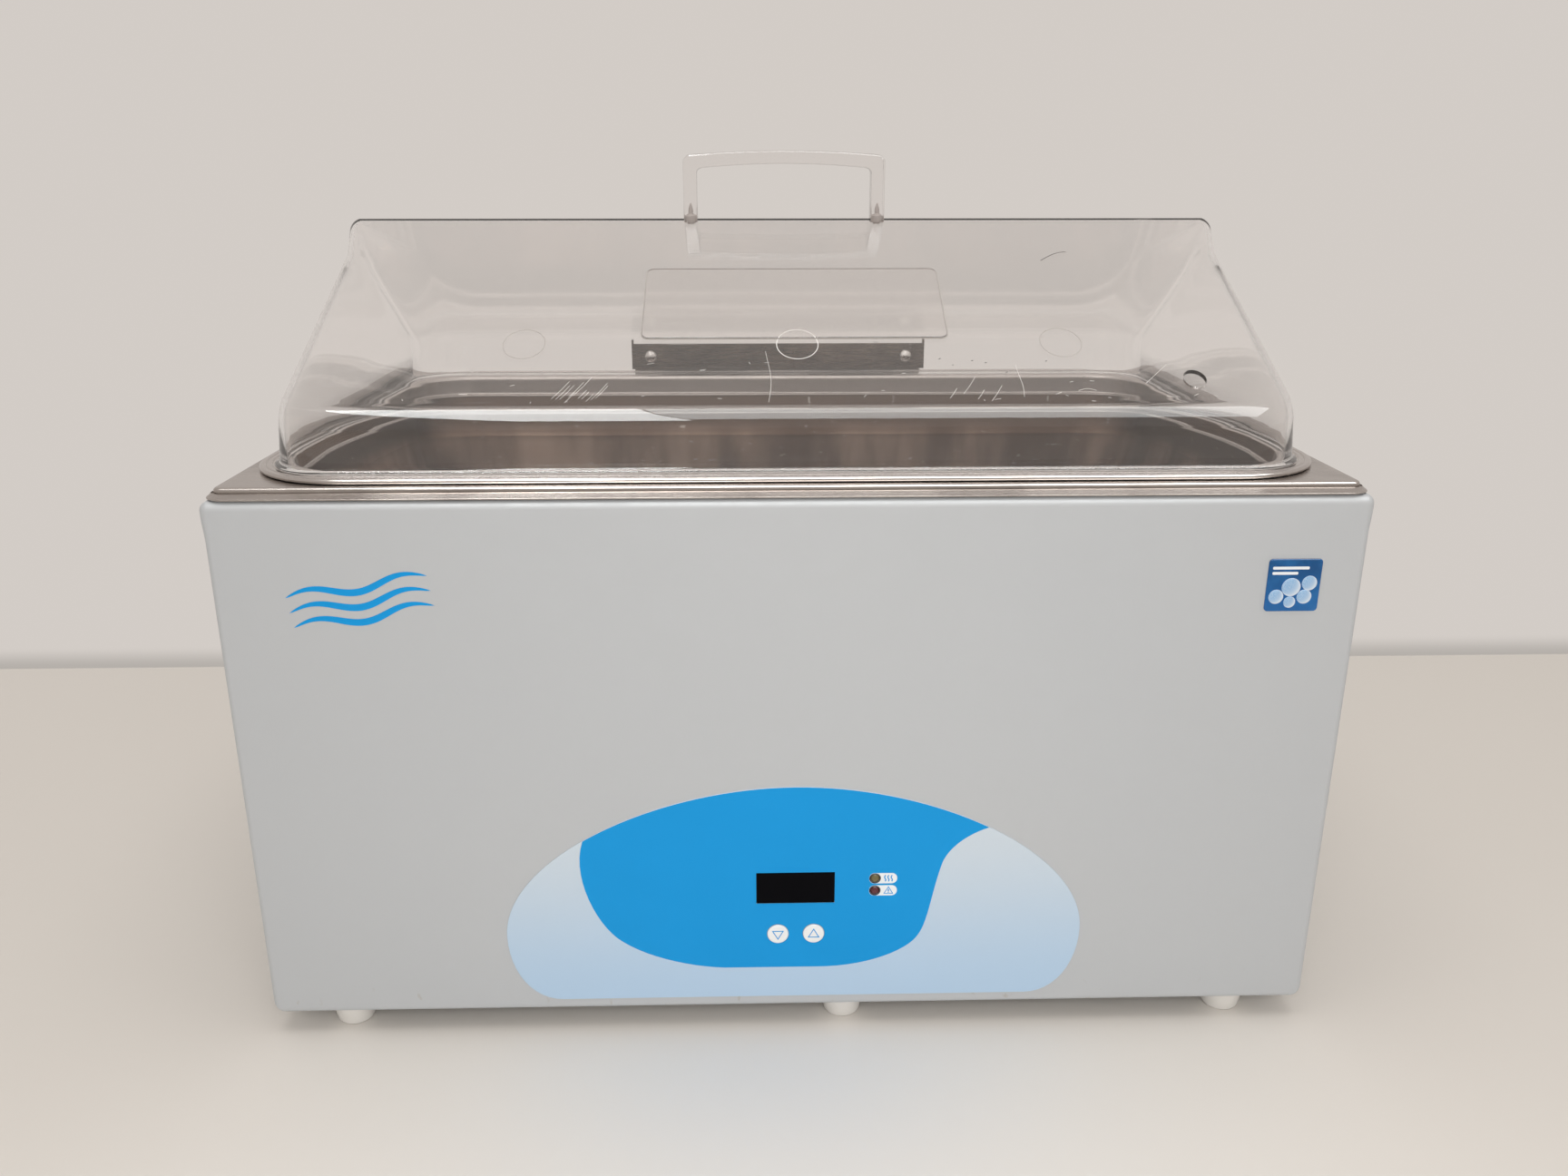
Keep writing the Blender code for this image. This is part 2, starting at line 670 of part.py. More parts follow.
def make_heating(finishes):
    floor_underside = TANK_FLOOR - TANK_WALL
    top = floor_underside - GAP
    y_low, y_high = at_depth(0.090), at_depth(0.235)
    box("heater_mat", (-0.130, y_low, top - 0.002), (0.130, y_high, top), finishes["silicone"])
    turned(
        "temperature_probe",
        (-0.195, at_depth(0.150), top - 0.0032),
        "Y",
        ((0.0020, 0.0), (0.0030, 0.0012), (0.0030, 0.038), (0.0022, 0.040)),
        finishes["steel"],
        12,
    )
    turned(
        "over_temperature_cutout",
        (0.190, at_depth(0.170), top - 0.0092),
        "Z",
        ((0.0045, 0.0), (0.0045, 0.0022), (0.0080, 0.0022), (0.0080, 0.0092)),
        finishes["black_plastic"],
        16,
    )
    pad_top = top - 0.002 - GAP
    pad = box(
        "base_insulation",
        (-0.215, at_depth(0.062), 0.0720),
        (0.215, at_depth(0.288), pad_top),
        finishes["insulation"],
    )
    slot(pad, "probe_pocket", (-0.203, at_depth(0.142), 0.060), (-0.187, at_depth(0.198), 0.100))
    slot(pad, "cutout_pocket", (0.178, at_depth(0.158), 0.060), (0.202, at_depth(0.182), 0.100))
    slot(pad, "cable_pocket", (0.1290, at_depth(0.138), 0.0800), (0.2200, at_depth(0.1575), 0.100))
    drill(pad, "drain_pocket", (DRAIN_X, at_depth(DRAIN_DEPTH), 0.060), "Z", 0.0085, 0.040, 16)
    inner = TANK_OPENING_INSET + TANK_SHOULDER - TANK_WALL - 0.0024
    thickness = 0.014
    rings = []
    for inset, z in (
        (inner - thickness, 0.126), (inner - thickness, 0.2830), (inner, 0.2830), (inner, 0.126)
    ):
        rings.append(level(RIM_WIDTH / 2 - inset, RIM_DEPTH / 2 - inset, 0.048 - inset, z, MIDDLE, 4))
    loft("tank_insulation", rings, finishes["insulation"], closed=True)


def make_display_electronics(finishes):
    board_front = at_depth(BOARD_DEPTH)
    board_back = at_depth(BOARD_DEPTH + BOARD_THICKNESS)
    board = box(
        "display_board", (-0.045, board_front, 0.043), (0.060, board_back, 0.105), finishes["circuit_board"]
    )
    for number, (x, z) in enumerate(STUD_PLACES, 1):
        drill(board, f"board_hole_{number}", (x, board_front - 0.002, z), "Y", 0.0017, 0.006, 10)
    box(
        "display_module",
        (DISPLAY_X - 0.025, at_depth(CASE_WALL + 0.0005), DISPLAY_Z - 0.0105),
        (DISPLAY_X + 0.025, board_front - GAP, DISPLAY_Z + 0.0105),
        finishes["black_plastic"],
    )
    box(
        "display_window",
        (DISPLAY_X - DISPLAY_WIDTH / 2, at_depth(-FASCIA_THICKNESS - GAP), DISPLAY_Z - DISPLAY_HEIGHT / 2),
        (DISPLAY_X + DISPLAY_WIDTH / 2, at_depth(CASE_WALL), DISPLAY_Z + DISPLAY_HEIGHT / 2),
        finishes["window"],
    )
    for name, x in (("switch_down", BUTTON_DOWN_X), ("switch_up", BUTTON_UP_X)):
        outline = rounded_outline(0.003, 0.003, 0.0006, 1)
        switch = prism(
            name,
            outline,
            lambda u, v, x=x: (x + u, board_front - GAP, BUTTON_Z + v),
            Vector((0, -0.0036, 0)),
            finishes["black_plastic"],
        )
        tip = turned(
            f"{name}_tip",
            (x, board_front - 0.0046, BUTTON_Z),
            "Y",
            ((0.0014, 0), (0.0014, 0.002)),
            finishes["black_plastic"],
            10,
        )
        add(switch, tip)
    for name, z in (("heater_lamp", HEATER_LAMP_Z), ("alarm_lamp", ALARM_LAMP_Z)):
        lens = (
            (0.0009, -0.00115),
            (0.0018, -0.0008),
            (LAMP_RADIUS, -0.0003),
            (LAMP_RADIUS, 0.0055),
            (LAMP_RADIUS + 0.0004, 0.0055),
            (LAMP_RADIUS + 0.0004, BOARD_DEPTH - GAP),
        )
        turned(name, (LAMP_X, at_depth(0), z), "Y", lens, finishes["lamp"], 16)


def make_power_electronics(finishes):
    board_low = INSIDE_TOP + GAP + 0.0104 + GAP
    board_top = board_low + BOARD_THICKNESS
    box(
        "power_board",
        (0.028, at_depth(0.092), board_low),
        (0.142, at_depth(0.168), board_top),
        finishes["circuit_board"],
    )
    above = board_top + GAP
    box(
        "transformer",
        (0.036, at_depth(0.100), above),
        (0.072, at_depth(0.130), above + 0.028),
        finishes["black_plastic"],
        0.0015,
    )
    fins = box(
        "triac_heatsink",
        (0.090, at_depth(0.104), above),
        (0.122, at_depth(0.140), above + 0.022),
        finishes["heatsink"],
    )
    for number in range(3):
        x = 0.0945 + 0.009 * number
        slot(
            fins,
            f"fin_gap_{number}",
            (x, at_depth(0.100), above + 0.004),
            (x + 0.005, at_depth(0.145), above + 0.030),
        )
    y = at_depth(0.156)
    blocks = box(
        "terminal_block",
        (0.040, y - 0.006, above),
        (0.088, y + 0.006, above + 0.011),
        finishes["black_plastic"],
    )
    for number in range(4):
        x = 0.046 + 0.012 * number
        drill(blocks, f"terminal_{number}", (x, y, above + 0.006), "Z", 0.0024, 0.010, 8)


def make_cables(finishes):
    """Cables inside the case, each from one fitting to the next."""
    wire = finishes["wire"]
    entry = at_depth(CASE_DEPTH - 0.0270)
    cable(
        "mains_cable",
        (
            (ENTRY_X, entry, 0.046),
            (ENTRY_X - 0.001, at_depth(0.306), 0.045),
            (0.120, at_depth(0.250), 0.030),
            (0.072, at_depth(0.205), 0.030),
            (0.064, at_depth(0.1645), 0.0355),
        ),
        0.003,
        wire,
    )
    cable(
        "heater_cable",
        (
            (0.130 + GAP, at_depth(0.150), TANK_FLOOR - 0.0033),
            (0.150, at_depth(0.149), TANK_FLOOR - 0.0045),
            (0.190, at_depth(0.147), 0.0900),
            (0.2215, at_depth(0.145), 0.0840),
            (0.2260, at_depth(0.140), 0.0600),
            (0.1950, at_depth(0.128), 0.0340),
            (0.1445, at_depth(0.120), 0.0275),
        ),
        0.0018,
        wire,
    )
    cable(
        "probe_cable",
        (
            (-0.195, at_depth(0.1485), TANK_FLOOR - 0.0045),
            (-0.195, at_depth(0.1440), 0.088),
            (-0.195, at_depth(0.1450), 0.066),
            (-0.160, at_depth(0.100), 0.050),
            (-0.090, at_depth(0.050), 0.060),
            (-0.050, at_depth(0.018), 0.070),
            (-0.035, at_depth(0.0135), 0.070),
        ),
        0.0014,
        finishes["black_plastic"],
    )
    cable(
        "signal_cable",
        (
            (0.020, at_depth(0.0140), 0.052),
            (0.024, at_depth(0.030), 0.046),
            (0.045, at_depth(0.060), 0.034),
            (0.060, at_depth(0.0895), 0.0270),
        ),
        0.0020,
        finishes["insulation"],
        16,
    )


# Front panel


def fascia_outline():
    """A half-moon: a wide arch, tight sides and a flat bottom. Only the right half is stated."""
    top = (0.0, FASCIA_TOP)
    side = (FASCIA_HALF_WIDTH, FASCIA_WIDEST)
    bottom = (FASCIA_FLAT_HALF, FASCIA_BOTTOM)
    right = bezier(bottom, (FASCIA_FLAT_HALF + 0.016, FASCIA_BOTTOM), (side[0], side[1] - 0.022), side, 6)
    right += bezier(side, (side[0], side[1] + 0.043), (0.074, FASCIA_TOP), top, 14)
    left = [(-x, z) for x, z in reversed(right)]
    return right + [top] + left


def make_fascia(finishes):
    face = at_depth(-GAP)
    fascia = prism(
        "fascia_overlay",
        fascia_outline(),
        lambda u, v: (FASCIA_X + u, face, v),
        Vector((0, -FASCIA_THICKNESS, 0)),
        finishes["fascia"],
    )
    front, back = at_depth(-0.004), at_depth(0.004)
    slot(
        fascia,
        "fascia_display_hole",
        (DISPLAY_X - DISPLAY_WIDTH / 2 - GAP, front, DISPLAY_Z - DISPLAY_HEIGHT / 2 - GAP),
        (DISPLAY_X + DISPLAY_WIDTH / 2 + GAP, back, DISPLAY_Z + DISPLAY_HEIGHT / 2 + GAP),
    )
    for name, x in (("down", BUTTON_DOWN_X), ("up", BUTTON_UP_X)):
        drill(fascia, f"fascia_{name}_hole", (x, front, BUTTON_Z), "Y", BUTTON_RADIUS + GAP, 0.008, 24)
    for name, z in (("heater", HEATER_LAMP_Z), ("alarm", ALARM_LAMP_Z)):
        drill(fascia, f"fascia_{name}_hole", (LAMP_X, front, z), "Y", LAMP_RADIUS + GAP, 0.008, 16)


def make_buttons(finish):
    """Each key is a disc in the fascia with a stem through the case, and travels along its own axis."""
    board_front = at_depth(BOARD_DEPTH)
    for name, x in (("button_down", BUTTON_DOWN_X), ("button_up", BUTTON_UP_X)):
        start = at_depth(-BUTTON_PROUD)
        stem_end = board_front - 0.0054 - start
        profile = (
            (BUTTON_RADIUS - 0.0006, 0.0),
            (BUTTON_RADIUS, 0.0002),
            (BUTTON_RADIUS, 0.0007),
            (0.0017, 0.0007),
            (0.0017, stem_end),
        )
        key = turned(name, (0, 0, 0), "Y", profile, finish, 20)
        key.location = (x, start, BUTTON_Z)


def make_badge(finish):
    """A domed square label near the upper right corner."""
    outline = rounded_outline(0.0137, 0.0131, 0.0015, 3)
    badge = prism(
        "corner_badge",
        outline,
        lambda u, v: (0.2400 + u, at_depth(-GAP), 0.2457 + v),
        Vector((0, -0.0008, 0)),
        finish,
    )
    round_edges(badge, 0.0003, 1)


# Rear power entry


def make_power_entry(finishes):
    """A panel module with a rocker switch, a fuse drawer and an inlet socket, one above the other."""
    flange_low = at_depth(CASE_DEPTH + GAP)
    flange_high = flange_low + 0.0024
    width, height = ENTRY_HALF_WIDTH, ENTRY_HALF_HEIGHT
    module = box(
        "mains_inlet",
        (ENTRY_X - width, flange_low, ENTRY_Z - height),
        (ENTRY_X + width, flange_high, ENTRY_Z + height),
        finishes["black_plastic"],
    )
    back = at_depth(CASE_DEPTH - 0.026)
    body = box(
        "inlet_body",
        (ENTRY_X - width + 0.0016, back, ENTRY_Z - height + 0.0016),
        (ENTRY_X + width - 0.0016, flange_low + 0.001, ENTRY_Z + height - 0.0016),
        finishes["black_plastic"],
    )
    add(module, body)
    outside = flange_high + 0.002
    half, chamfer = 0.0120, 0.0035
    socket = [
        (-half, -0.0082),
        (half, -0.0082),
        (half, 0.0047),
        (half - chamfer, 0.0082),
        (chamfer - half, 0.0082),
        (-half, 0.0047),
    ]
    socket_floor = at_depth(CASE_DEPTH - 0.0160)
    recess = prism(
        "socket_cutter",
        socket,
        lambda u, v: (ENTRY_X + u, socket_floor, SOCKET_Z + v),
        Vector((0, outside - socket_floor, 0)),
        finishes["black_plastic"],
    )
    cut(module, recess)
    slot(
        module,
        "fuse",
        (ENTRY_X - 0.0112, at_depth(CASE_DEPTH - 0.014), FUSE_Z - 0.0040),
        (ENTRY_X + 0.0112, outside, FUSE_Z + 0.0040),
    )
    slot(
        module,
        "rocker",
        (ENTRY_X - 0.0100, at_depth(CASE_DEPTH - 0.0075), ROCKER_Z - 0.0080),
        (ENTRY_X + 0.0100, outside, ROCKER_Z + 0.0080),
    )
    box(
        "fuse_drawer",
        (ENTRY_X - 0.0109, at_depth(CASE_DEPTH - 0.0137), FUSE_Z - 0.0037),
        (ENTRY_X + 0.0109, flange_high + 0.0006, FUSE_Z + 0.0037),
        finishes["black_plastic"],
    )
    for name, x, z in (("live", -0.007, 0.0012), ("earth", 0.0, -0.0028), ("neutral", 0.007, 0.0012)):
        place = Vector((ENTRY_X + x, socket_floor + GAP, SOCKET_Z + z))
        box(
            f"inlet_pin_{name}",
            place - Vector((0.001, 0, 0.002)),
            place + Vector((0.001, 0.0125, 0.002)),
            finishes["brass"],
        )


def make_power_rocker(finish):
    """The switch's rocker, modelled about its pivot and tipped to its off side."""
    half_x = 0.0096
    profile = ((0.0005, -0.0040), (0.0082, -0.0063), (0.0068, 0.0), (0.0082, 0.0063), (0.0005, 0.0040))
    rocker = prism(
        "power_rocker", profile, lambda u, v: (-half_x, u, v), Vector((2 * half_x, 0, 0)), finish
    )
    rocker.location = (ENTRY_X, at_depth(ROCKER_PIVOT_DEPTH), ROCKER_Z)
    rocker.rotation_euler = (-ROCKER_TILT, 0, 0)


# Drain


def make_drain(finishes):
    make_drain_pipe(finishes["steel"])
    y0 = at_depth(CASE_DEPTH + GAP)
    bore = 0.0035
    reach = TAP_REACH - GAP
    outer = [(0.0120, 0.0), (0.0120, 0.0030), (0.0095, 0.0030), (0.0095, 0.0185), (0.0060, 0.0185)]
    for start in (0.0215, 0.0260):
        outer += [(0.0050, start), (0.0062, start + 0.0006), (0.0050, start + 0.0040)]
    outer.append((0.0046, reach))
    profile = [*outer, (bore, reach), (bore, 0.0)]
    body = turned("drain_tap_body", (DRAIN_X, y0, TAP_Z), "Y", profile, finishes["brass"], 16, hollow=True)
    plug_y = at_depth(TAP_PLUG_DEPTH)
    plug_floor = TAP_Z - 0.0062
    drill(body, "plug_bore", (DRAIN_X, plug_y, plug_floor), "Z", TAP_PLUG_RADIUS + 0.0001, 0.030, 24)
    lift = plug_floor + GAP
    stem = turned(
        "drain_tap_lever",
        (0, 0, 0),
        "Z",
        (
            (TAP_PLUG_RADIUS, lift - TAP_Z),
            (TAP_PLUG_RADIUS, 0.0100),
            (0.0070, 0.0100),
            (0.0070, 0.0135),
            (0.0058, 0.0145),
        ),
        finishes["black_plastic"],
        24,
    )
    blade = prism(
        "lever_blade",
        (
            (0.0, -0.0045),
            (0.026, -0.0035),
            (0.034, -0.0045),
            (0.036, 0.0),
            (0.034, 0.0045),
            (0.026, 0.0035),
            (0.0, 0.0045),
        ),
        lambda u, v: (u, v, 0.0104),
        Vector((0, 0, 0.0028)),
        finishes["black_plastic"],
    )
    add(stem, blade)
    drill(stem, "plug_way", (-0.010, 0, 0), "X", 0.0032, 0.020, 16)
    stem.location = (DRAIN_X, plug_y, TAP_Z)
    for tool in ("lever_blade", "plug_way_cutter"):
        bpy.data.objects[tool].parent = stem


def make_drain_pipe(finish):
    """A bent tube from the tank's outlet to the tap, with an open bore."""
    outer, inner, bend = 0.0065, 0.0042, 0.016
    start = Vector((DRAIN_X, at_depth(DRAIN_DEPTH), TANK_FLOOR - TANK_WALL - GAP))
    places = [(start, Vector((0, 0, -1)))]
    for turn in range(0, 91, 30):
        angle = math.radians(turn)
        y = start.y + bend * (1 - math.cos(angle))
        z = TAP_Z + bend * (1 - math.sin(angle))
        places.append((Vector((DRAIN_X, y, z)), Vector((0, math.sin(angle), -math.cos(angle)))))
    places.append((Vector((DRAIN_X, at_depth(CASE_DEPTH), TAP_Z)), Vector((0, 1, 0))))

    def ring(place, heading, radius):
        side = Vector((1, 0, 0))
        other = heading.cross(side)
        turns = [2 * math.pi * k / 12 for k in range(12)]
        return [place + side * radius * math.cos(t) + other * radius * math.sin(t) for t in turns]

    rings = [ring(place, heading, outer) for place, heading in places]
    rings += [ring(place, heading, inner) for place, heading in reversed(places)]
    loft("drain_pipe", rings, finish, closed=True)


# Lid and handle


def lid_levels(inset):
    """(half length, half depth, corner radius, z) up to the ridge, that far inside the outer skin."""
    half_depth = LID_HALF_DEPTH - inset
    rise = math.tan(LID_SLOPE)
    knee = LID_KNEE + inset * rise - inset / math.cos(LID_SLOPE)
    knee_radius = max(LID_KNEE_RADIUS - inset, 0.002)
    ridge = knee + half_depth * rise
    turn = math.pi / 2 - LID_SLOPE
    reach = knee_radius * math.tan(turn / 2)
    sections = []
    for k in range(5):
        angle = turn * k / 4
        b = half_depth - knee_radius * (1 - math.cos(angle))
        sections.append((b, knee - reach + knee_radius * math.sin(angle)))
    end_radius = LID_RIDGE_RADIUS - inset
    for drop in (0.040, end_radius, end_radius * 0.6, end_radius * 0.3, end_radius * 0.1, 0.0004):
        sections.append(((drop + 0.0002) / rise, ridge - drop))
    levels = []
    for b, z in sections:
        height = (z - LID_FOOT) / (ridge - LID_FOOT)
        a = LID_HALF_LENGTH - inset + (LID_RIDGE_HALF_LENGTH - LID_HALF_LENGTH) * height
        into_corner = max(z - (ridge - end_radius), 0)
        a -= end_radius - math.sqrt(max(end_radius**2 - into_corner**2, 0))
        levels.append((a, b, min(LID_CORNER - inset, 0.85 * b), z))
    return levels


def lid_ridge_z(inset):
    return LID_KNEE + LID_HALF_DEPTH * math.tan(LID_SLOPE) - inset / math.cos(LID_SLOPE)


def make_lid(finish):
    """One loft from the ridge inside, down to the foot, and up to the ridge outside."""

    def ring(a, b, radius, z):
        return level(a, b, radius, z, LID_MIDDLE, steps=6)

    a, b, radius = LID_HALF_LENGTH, LID_HALF_DEPTH, LID_CORNER
    rings = [ring(*numbers) for numbers in reversed(lid_levels(LID_WALL))]
    rings.append(ring(a - LID_WALL, b - LID_WALL, radius - LID_WALL, LID_FOOT))
    rings.append(ring(a + LID_LIP, b + LID_LIP, radius + LID_LIP, LID_FOOT))
    rings.append(ring(a + LID_LIP, b + LID_LIP, radius + LID_LIP, LID_FOOT + 0.0014))
    rings.append(ring(a, b, radius, LID_FOOT + 0.0030))
    rings += [ring(*numbers) for numbers in lid_levels(0.0)]
    lid = loft("lid_shell", rings, finish, closed=False)

    slope_place = Vector((THERMOMETER_X, LID_MIDDLE - LID_HALF_DEPTH, LID_KNEE))
    up_slope = Vector((0, math.cos(LID_SLOPE), math.sin(LID_SLOPE)))
    hole = turned(
        "thermometer_cutter",
        (0, 0, -0.02),
        "Z",
        ((THERMOMETER_RADIUS, 0), (THERMOMETER_RADIUS, 0.04)),
        finish,
        20,
    )
    hole.location = slope_place + up_slope * THERMOMETER_UP_SLOPE
    hole.rotation_euler = (LID_SLOPE, 0, 0)
    cut(lid, hole)
    for side in (-1, 1):
        drill(
            lid, f"handle_hole_{side}", (side * HANDLE_HALF_SPAN, LID_MIDDLE, 0.395), "Z", 0.0018, 0.030, 12
        )
        drill(
            lid,
            f"leaf_hole_{side}",
            (side * LEAF_SCREW_X, LID_MIDDLE + LID_HALF_DEPTH - 0.006, LEAF_SCREW_Z),
            "Y",
            0.0021,
            0.012,
            12,
        )
    return lid


def make_handle(finish):
    """An arched grip on two posts, whose feet straddle the ridge."""
    outer_x = HANDLE_HALF_SPAN + HANDLE_POST / 2
    inner_x = HANDLE_HALF_SPAN - HANDLE_POST / 2
    foot = lid_ridge_z(0) - 0.0030
    steps = 12

    def arch(half, top, rise, corner):
        """The arched top edge from right to left, dropping by rise towards its ends."""
        xs = [half * (1 - 2 * k / steps) for k in range(steps + 1)]
        points = [(x, top - rise * (x / half) ** 2) for x in xs]
        points[0] = (half - corner, points[0][1])
        points[-1] = (corner - half, points[-1][1])
        return [(half, points[0][1] - corner), *points, (-half, points[-1][1] - corner)]

    over = arch(outer_x, HANDLE_TOP, HANDLE_RISE, 0.0025)
    under = arch(inner_x, HANDLE_TOP - HANDLE_GRIP, HANDLE_RISE, 0.0015)
    outline = [
        (outer_x, foot), *over, (-outer_x, foot), (-inner_x, foot), *reversed(under), (inner_x, foot)
    ]
    half_y = HANDLE_DEPTH / 2
    handle = prism(
        "lid_handle",
        outline,
        lambda u, v: (u, LID_MIDDLE - half_y, v),
        Vector((0, HANDLE_DEPTH, 0)),
        finish,
    )
    round_edges(handle, 0.0009, 1)
    reach = 0.020
    drop = reach * math.tan(LID_SLOPE)
    crest = lid_ridge_z(0) + GAP / math.cos(LID_SLOPE)
    roof = prism(
        "roof_cutter",
        (
            (-reach, crest - drop - 0.01),
            (reach, crest - drop - 0.01),
            (reach, crest - drop),
            (0, crest),
            (-reach, crest - drop),
        ),
        lambda u, v: (-0.08, LID_MIDDLE + u, v),
        Vector((0.16, 0, 0)),
        finish,
    )
    cut(handle, roof)
    for side in (-1, 1):
        drill(
            handle,
            f"post_hole_{side}",
            (side * HANDLE_HALF_SPAN, LID_MIDDLE, 0.400),
            "Z",
            0.0018,
            0.0190,
            12,
        )
    return handle


def make_handle_screws(finish):
    head_top = lid_ridge_z(LID_WALL) - 0.0032 * math.tan(LID_SLOPE) - GAP
    profile = ((0.0018, -0.0024), (0.0030, -0.0014), (0.0030, 0.0), (0.0015, 0.0), (0.0015, 0.0135))
    for number, side in enumerate((-1, 1), 1):
        turned(
            f"handle_screw_{number}",
            (side * HANDLE_HALF_SPAN, LID_MIDDLE, head_top),
            "Z",
            profile,
            finish,
            12,
        )


# Hinge


def knuckle(name, x, half_width, finish):
    place = (x - half_width, at_depth(HINGE_DEPTH), HINGE_Z)
    return turned(name, place, "X", ((KNUCKLE_RADIUS, 0), (KNUCKLE_RADIUS, 2 * half_width)), finish, 16)


def bore_for_pin(leaf, name):
    drill(leaf, name, (-0.12, at_depth(HINGE_DEPTH), HINGE_Z), "X", PIN_BORE_RADIUS, 0.24, 16)


def make_lid_leaf(finish):
    """The strip screwed to the lid's rear skirt, with folded end ears and two knuckles."""
    face = LID_MIDDLE + LID_HALF_DEPTH + GAP
    low, high = LID_FOOT + 0.0035, 0.3185
    leaf = box(
        "hinge_leaf", (-HINGE_HALF_WIDTH, face, low), (HINGE_HALF_WIDTH, face + HINGE_SHEET, high), finish
    )
    for side in (-1, 1):
        inner, outer = side * (HINGE_HALF_WIDTH - HINGE_SHEET), side * HINGE_HALF_WIDTH
        x_low, x_high = min(inner, outer), max(inner, outer)
        ear = box(
            f"leaf_ear_{side}",
            (x_low, face + 0.0004, low + 0.004),
            (x_high, face + 0.0055, high + 0.003),
            finish,
        )
        add(leaf, ear)
    axis_y = at_depth(HINGE_DEPTH)
    for number, (x, half_width) in enumerate(LID_KNUCKLES, 1):
        tab = box(
            f"leaf_tab_{number}",
            (x - half_width, face + 0.0004, HINGE_Z + KNUCKLE_RADIUS - HINGE_SHEET),
            (x + half_width, axis_y, HINGE_Z + KNUCKLE_RADIUS - 0.00005),
            finish,
        )
        add(leaf, tab, knuckle(f"lid_knuckle_{number}", x, half_width, finish))
    bore_for_pin(leaf, "leaf_pin_bore")
    for side in (-1, 1):
        drill(
            leaf,
            f"leaf_screw_hole_{side}",
            (side * LEAF_SCREW_X, face - 0.003, LEAF_SCREW_Z),
            "Y",
            0.0021,
            0.008,
            12,
        )


def make_hinge_bracket(finish):
    """The fixed half: a plate on the back of the case, bent forward over the top plate to four knuckles."""
    face = at_depth(CASE_DEPTH + GAP)
    axis_y = at_depth(HINGE_DEPTH)
    shelf_low = HINGE_Z - KNUCKLE_RADIUS
    shelf_high = shelf_low + HINGE_SHEET
    bracket = box(
        "hinge_bracket",
        (-HINGE_HALF_WIDTH, face, 0.258),
        (HINGE_HALF_WIDTH, face + HINGE_SHEET, shelf_high),
        finish,
    )
    shelf = box(
        "bracket_shelf",
        (-HINGE_HALF_WIDTH + 0.0005, axis_y + KNUCKLE_RADIUS + 0.0005, shelf_low + 0.00005),
        (HINGE_HALF_WIDTH - 0.0005, face + 0.0006, shelf_high - 0.00005),
        finish,
    )
    add(bracket, shelf)
    for number, (x, half_width) in enumerate(BATH_KNUCKLES, 1):
        finger = box(
            f"bracket_finger_{number}",
            (x - half_width, axis_y, shelf_low + 0.0001),
            (x + half_width, axis_y + 0.006, shelf_high - 0.0001),
            finish,
        )
        add(bracket, finger, knuckle(f"bath_knuckle_{number}", x, half_width, finish))
    bore_for_pin(bracket, "bracket_pin_bore")
    for side in (-1, 1):
        drill(
            bracket,
            f"bracket_screw_hole_{side}",
            (side * BRACKET_SCREW_X, face - 0.003, BRACKET_SCREW_Z),
            "Y",
            0.0021,
            0.008,
            12,
        )


def make_hinge_hardware(finish):
    half_length = 0.084
    turned(
        "hinge_pin",
        (-half_length, at_depth(HINGE_DEPTH), HINGE_Z),
        "X",
        ((PIN_RADIUS, 0), (PIN_RADIUS, 2 * half_length)),
        finish,
        16,
    )
    inside = LID_MIDDLE + LID_HALF_DEPTH - LID_WALL - GAP
    dome = (
        (0.0012, -0.0030),
        (0.0030, -0.0022),
        (0.0040, -0.0006),
        (0.0040, 0.0),
        (0.0018, 0.0),
        (0.0018, 0.0068),
    )
    for number, side in enumerate((-1, 1), 1):
        turned(f"leaf_screw_{number}", (side * LEAF_SCREW_X, inside, LEAF_SCREW_Z), "Y", dome, finish, 16)
    outside = at_depth(CASE_DEPTH) + GAP + HINGE_SHEET + GAP
    head = ((0.0018, -0.0065), (0.0018, 0.0), (0.0040, 0.0), (0.0038, 0.0014), (0.0020, 0.0024))
    for number, side in enumerate((-1, 1), 1):
        turned(
            f"bracket_screw_{number}",
            (side * BRACKET_SCREW_X, outside, BRACKET_SCREW_Z),
            "Y",
            head,
            finish,
            12,
        )


def clear_scene():
    for thing in list(bpy.data.objects):
        bpy.data.objects.remove(thing)


def main():
    clear_scene()
    finishes = make_materials()
    make_case(finishes["case_paint"])
    make_base_plate(finishes["zinc"])
    make_feet(finishes["foot_rubber"])
    make_base_screws(finishes["zinc"])
    make_top_plate(finishes["steel"])
    make_tank(finishes["steel"])
    make_rim_seal(finishes["foot_rubber"])
    make_shelf(finishes["steel"])
    make_heating(finishes)
    make_display_electronics(finishes)
    make_power_electronics(finishes)
    make_cables(finishes)
    make_fascia(finishes)
    make_buttons(finishes["button"])
    make_badge(finishes["badge"])
    make_power_entry(finishes)
    make_power_rocker(finishes["black_plastic"])
    make_drain(finishes)
    make_lid(finishes["lid_plastic"])
    make_handle(finishes["lid_plastic"])
    make_handle_screws(finishes["zinc"])
    make_lid_leaf(finishes["steel"])
    make_hinge_bracket(finishes["steel"])
    make_hinge_hardware(finishes["zinc"])


main()
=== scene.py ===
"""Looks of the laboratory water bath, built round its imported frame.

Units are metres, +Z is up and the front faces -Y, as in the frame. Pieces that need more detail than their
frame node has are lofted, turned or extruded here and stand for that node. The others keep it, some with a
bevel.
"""

import json
import math
import random

import bmesh
import bpy
from mathutils import Matrix, Vector


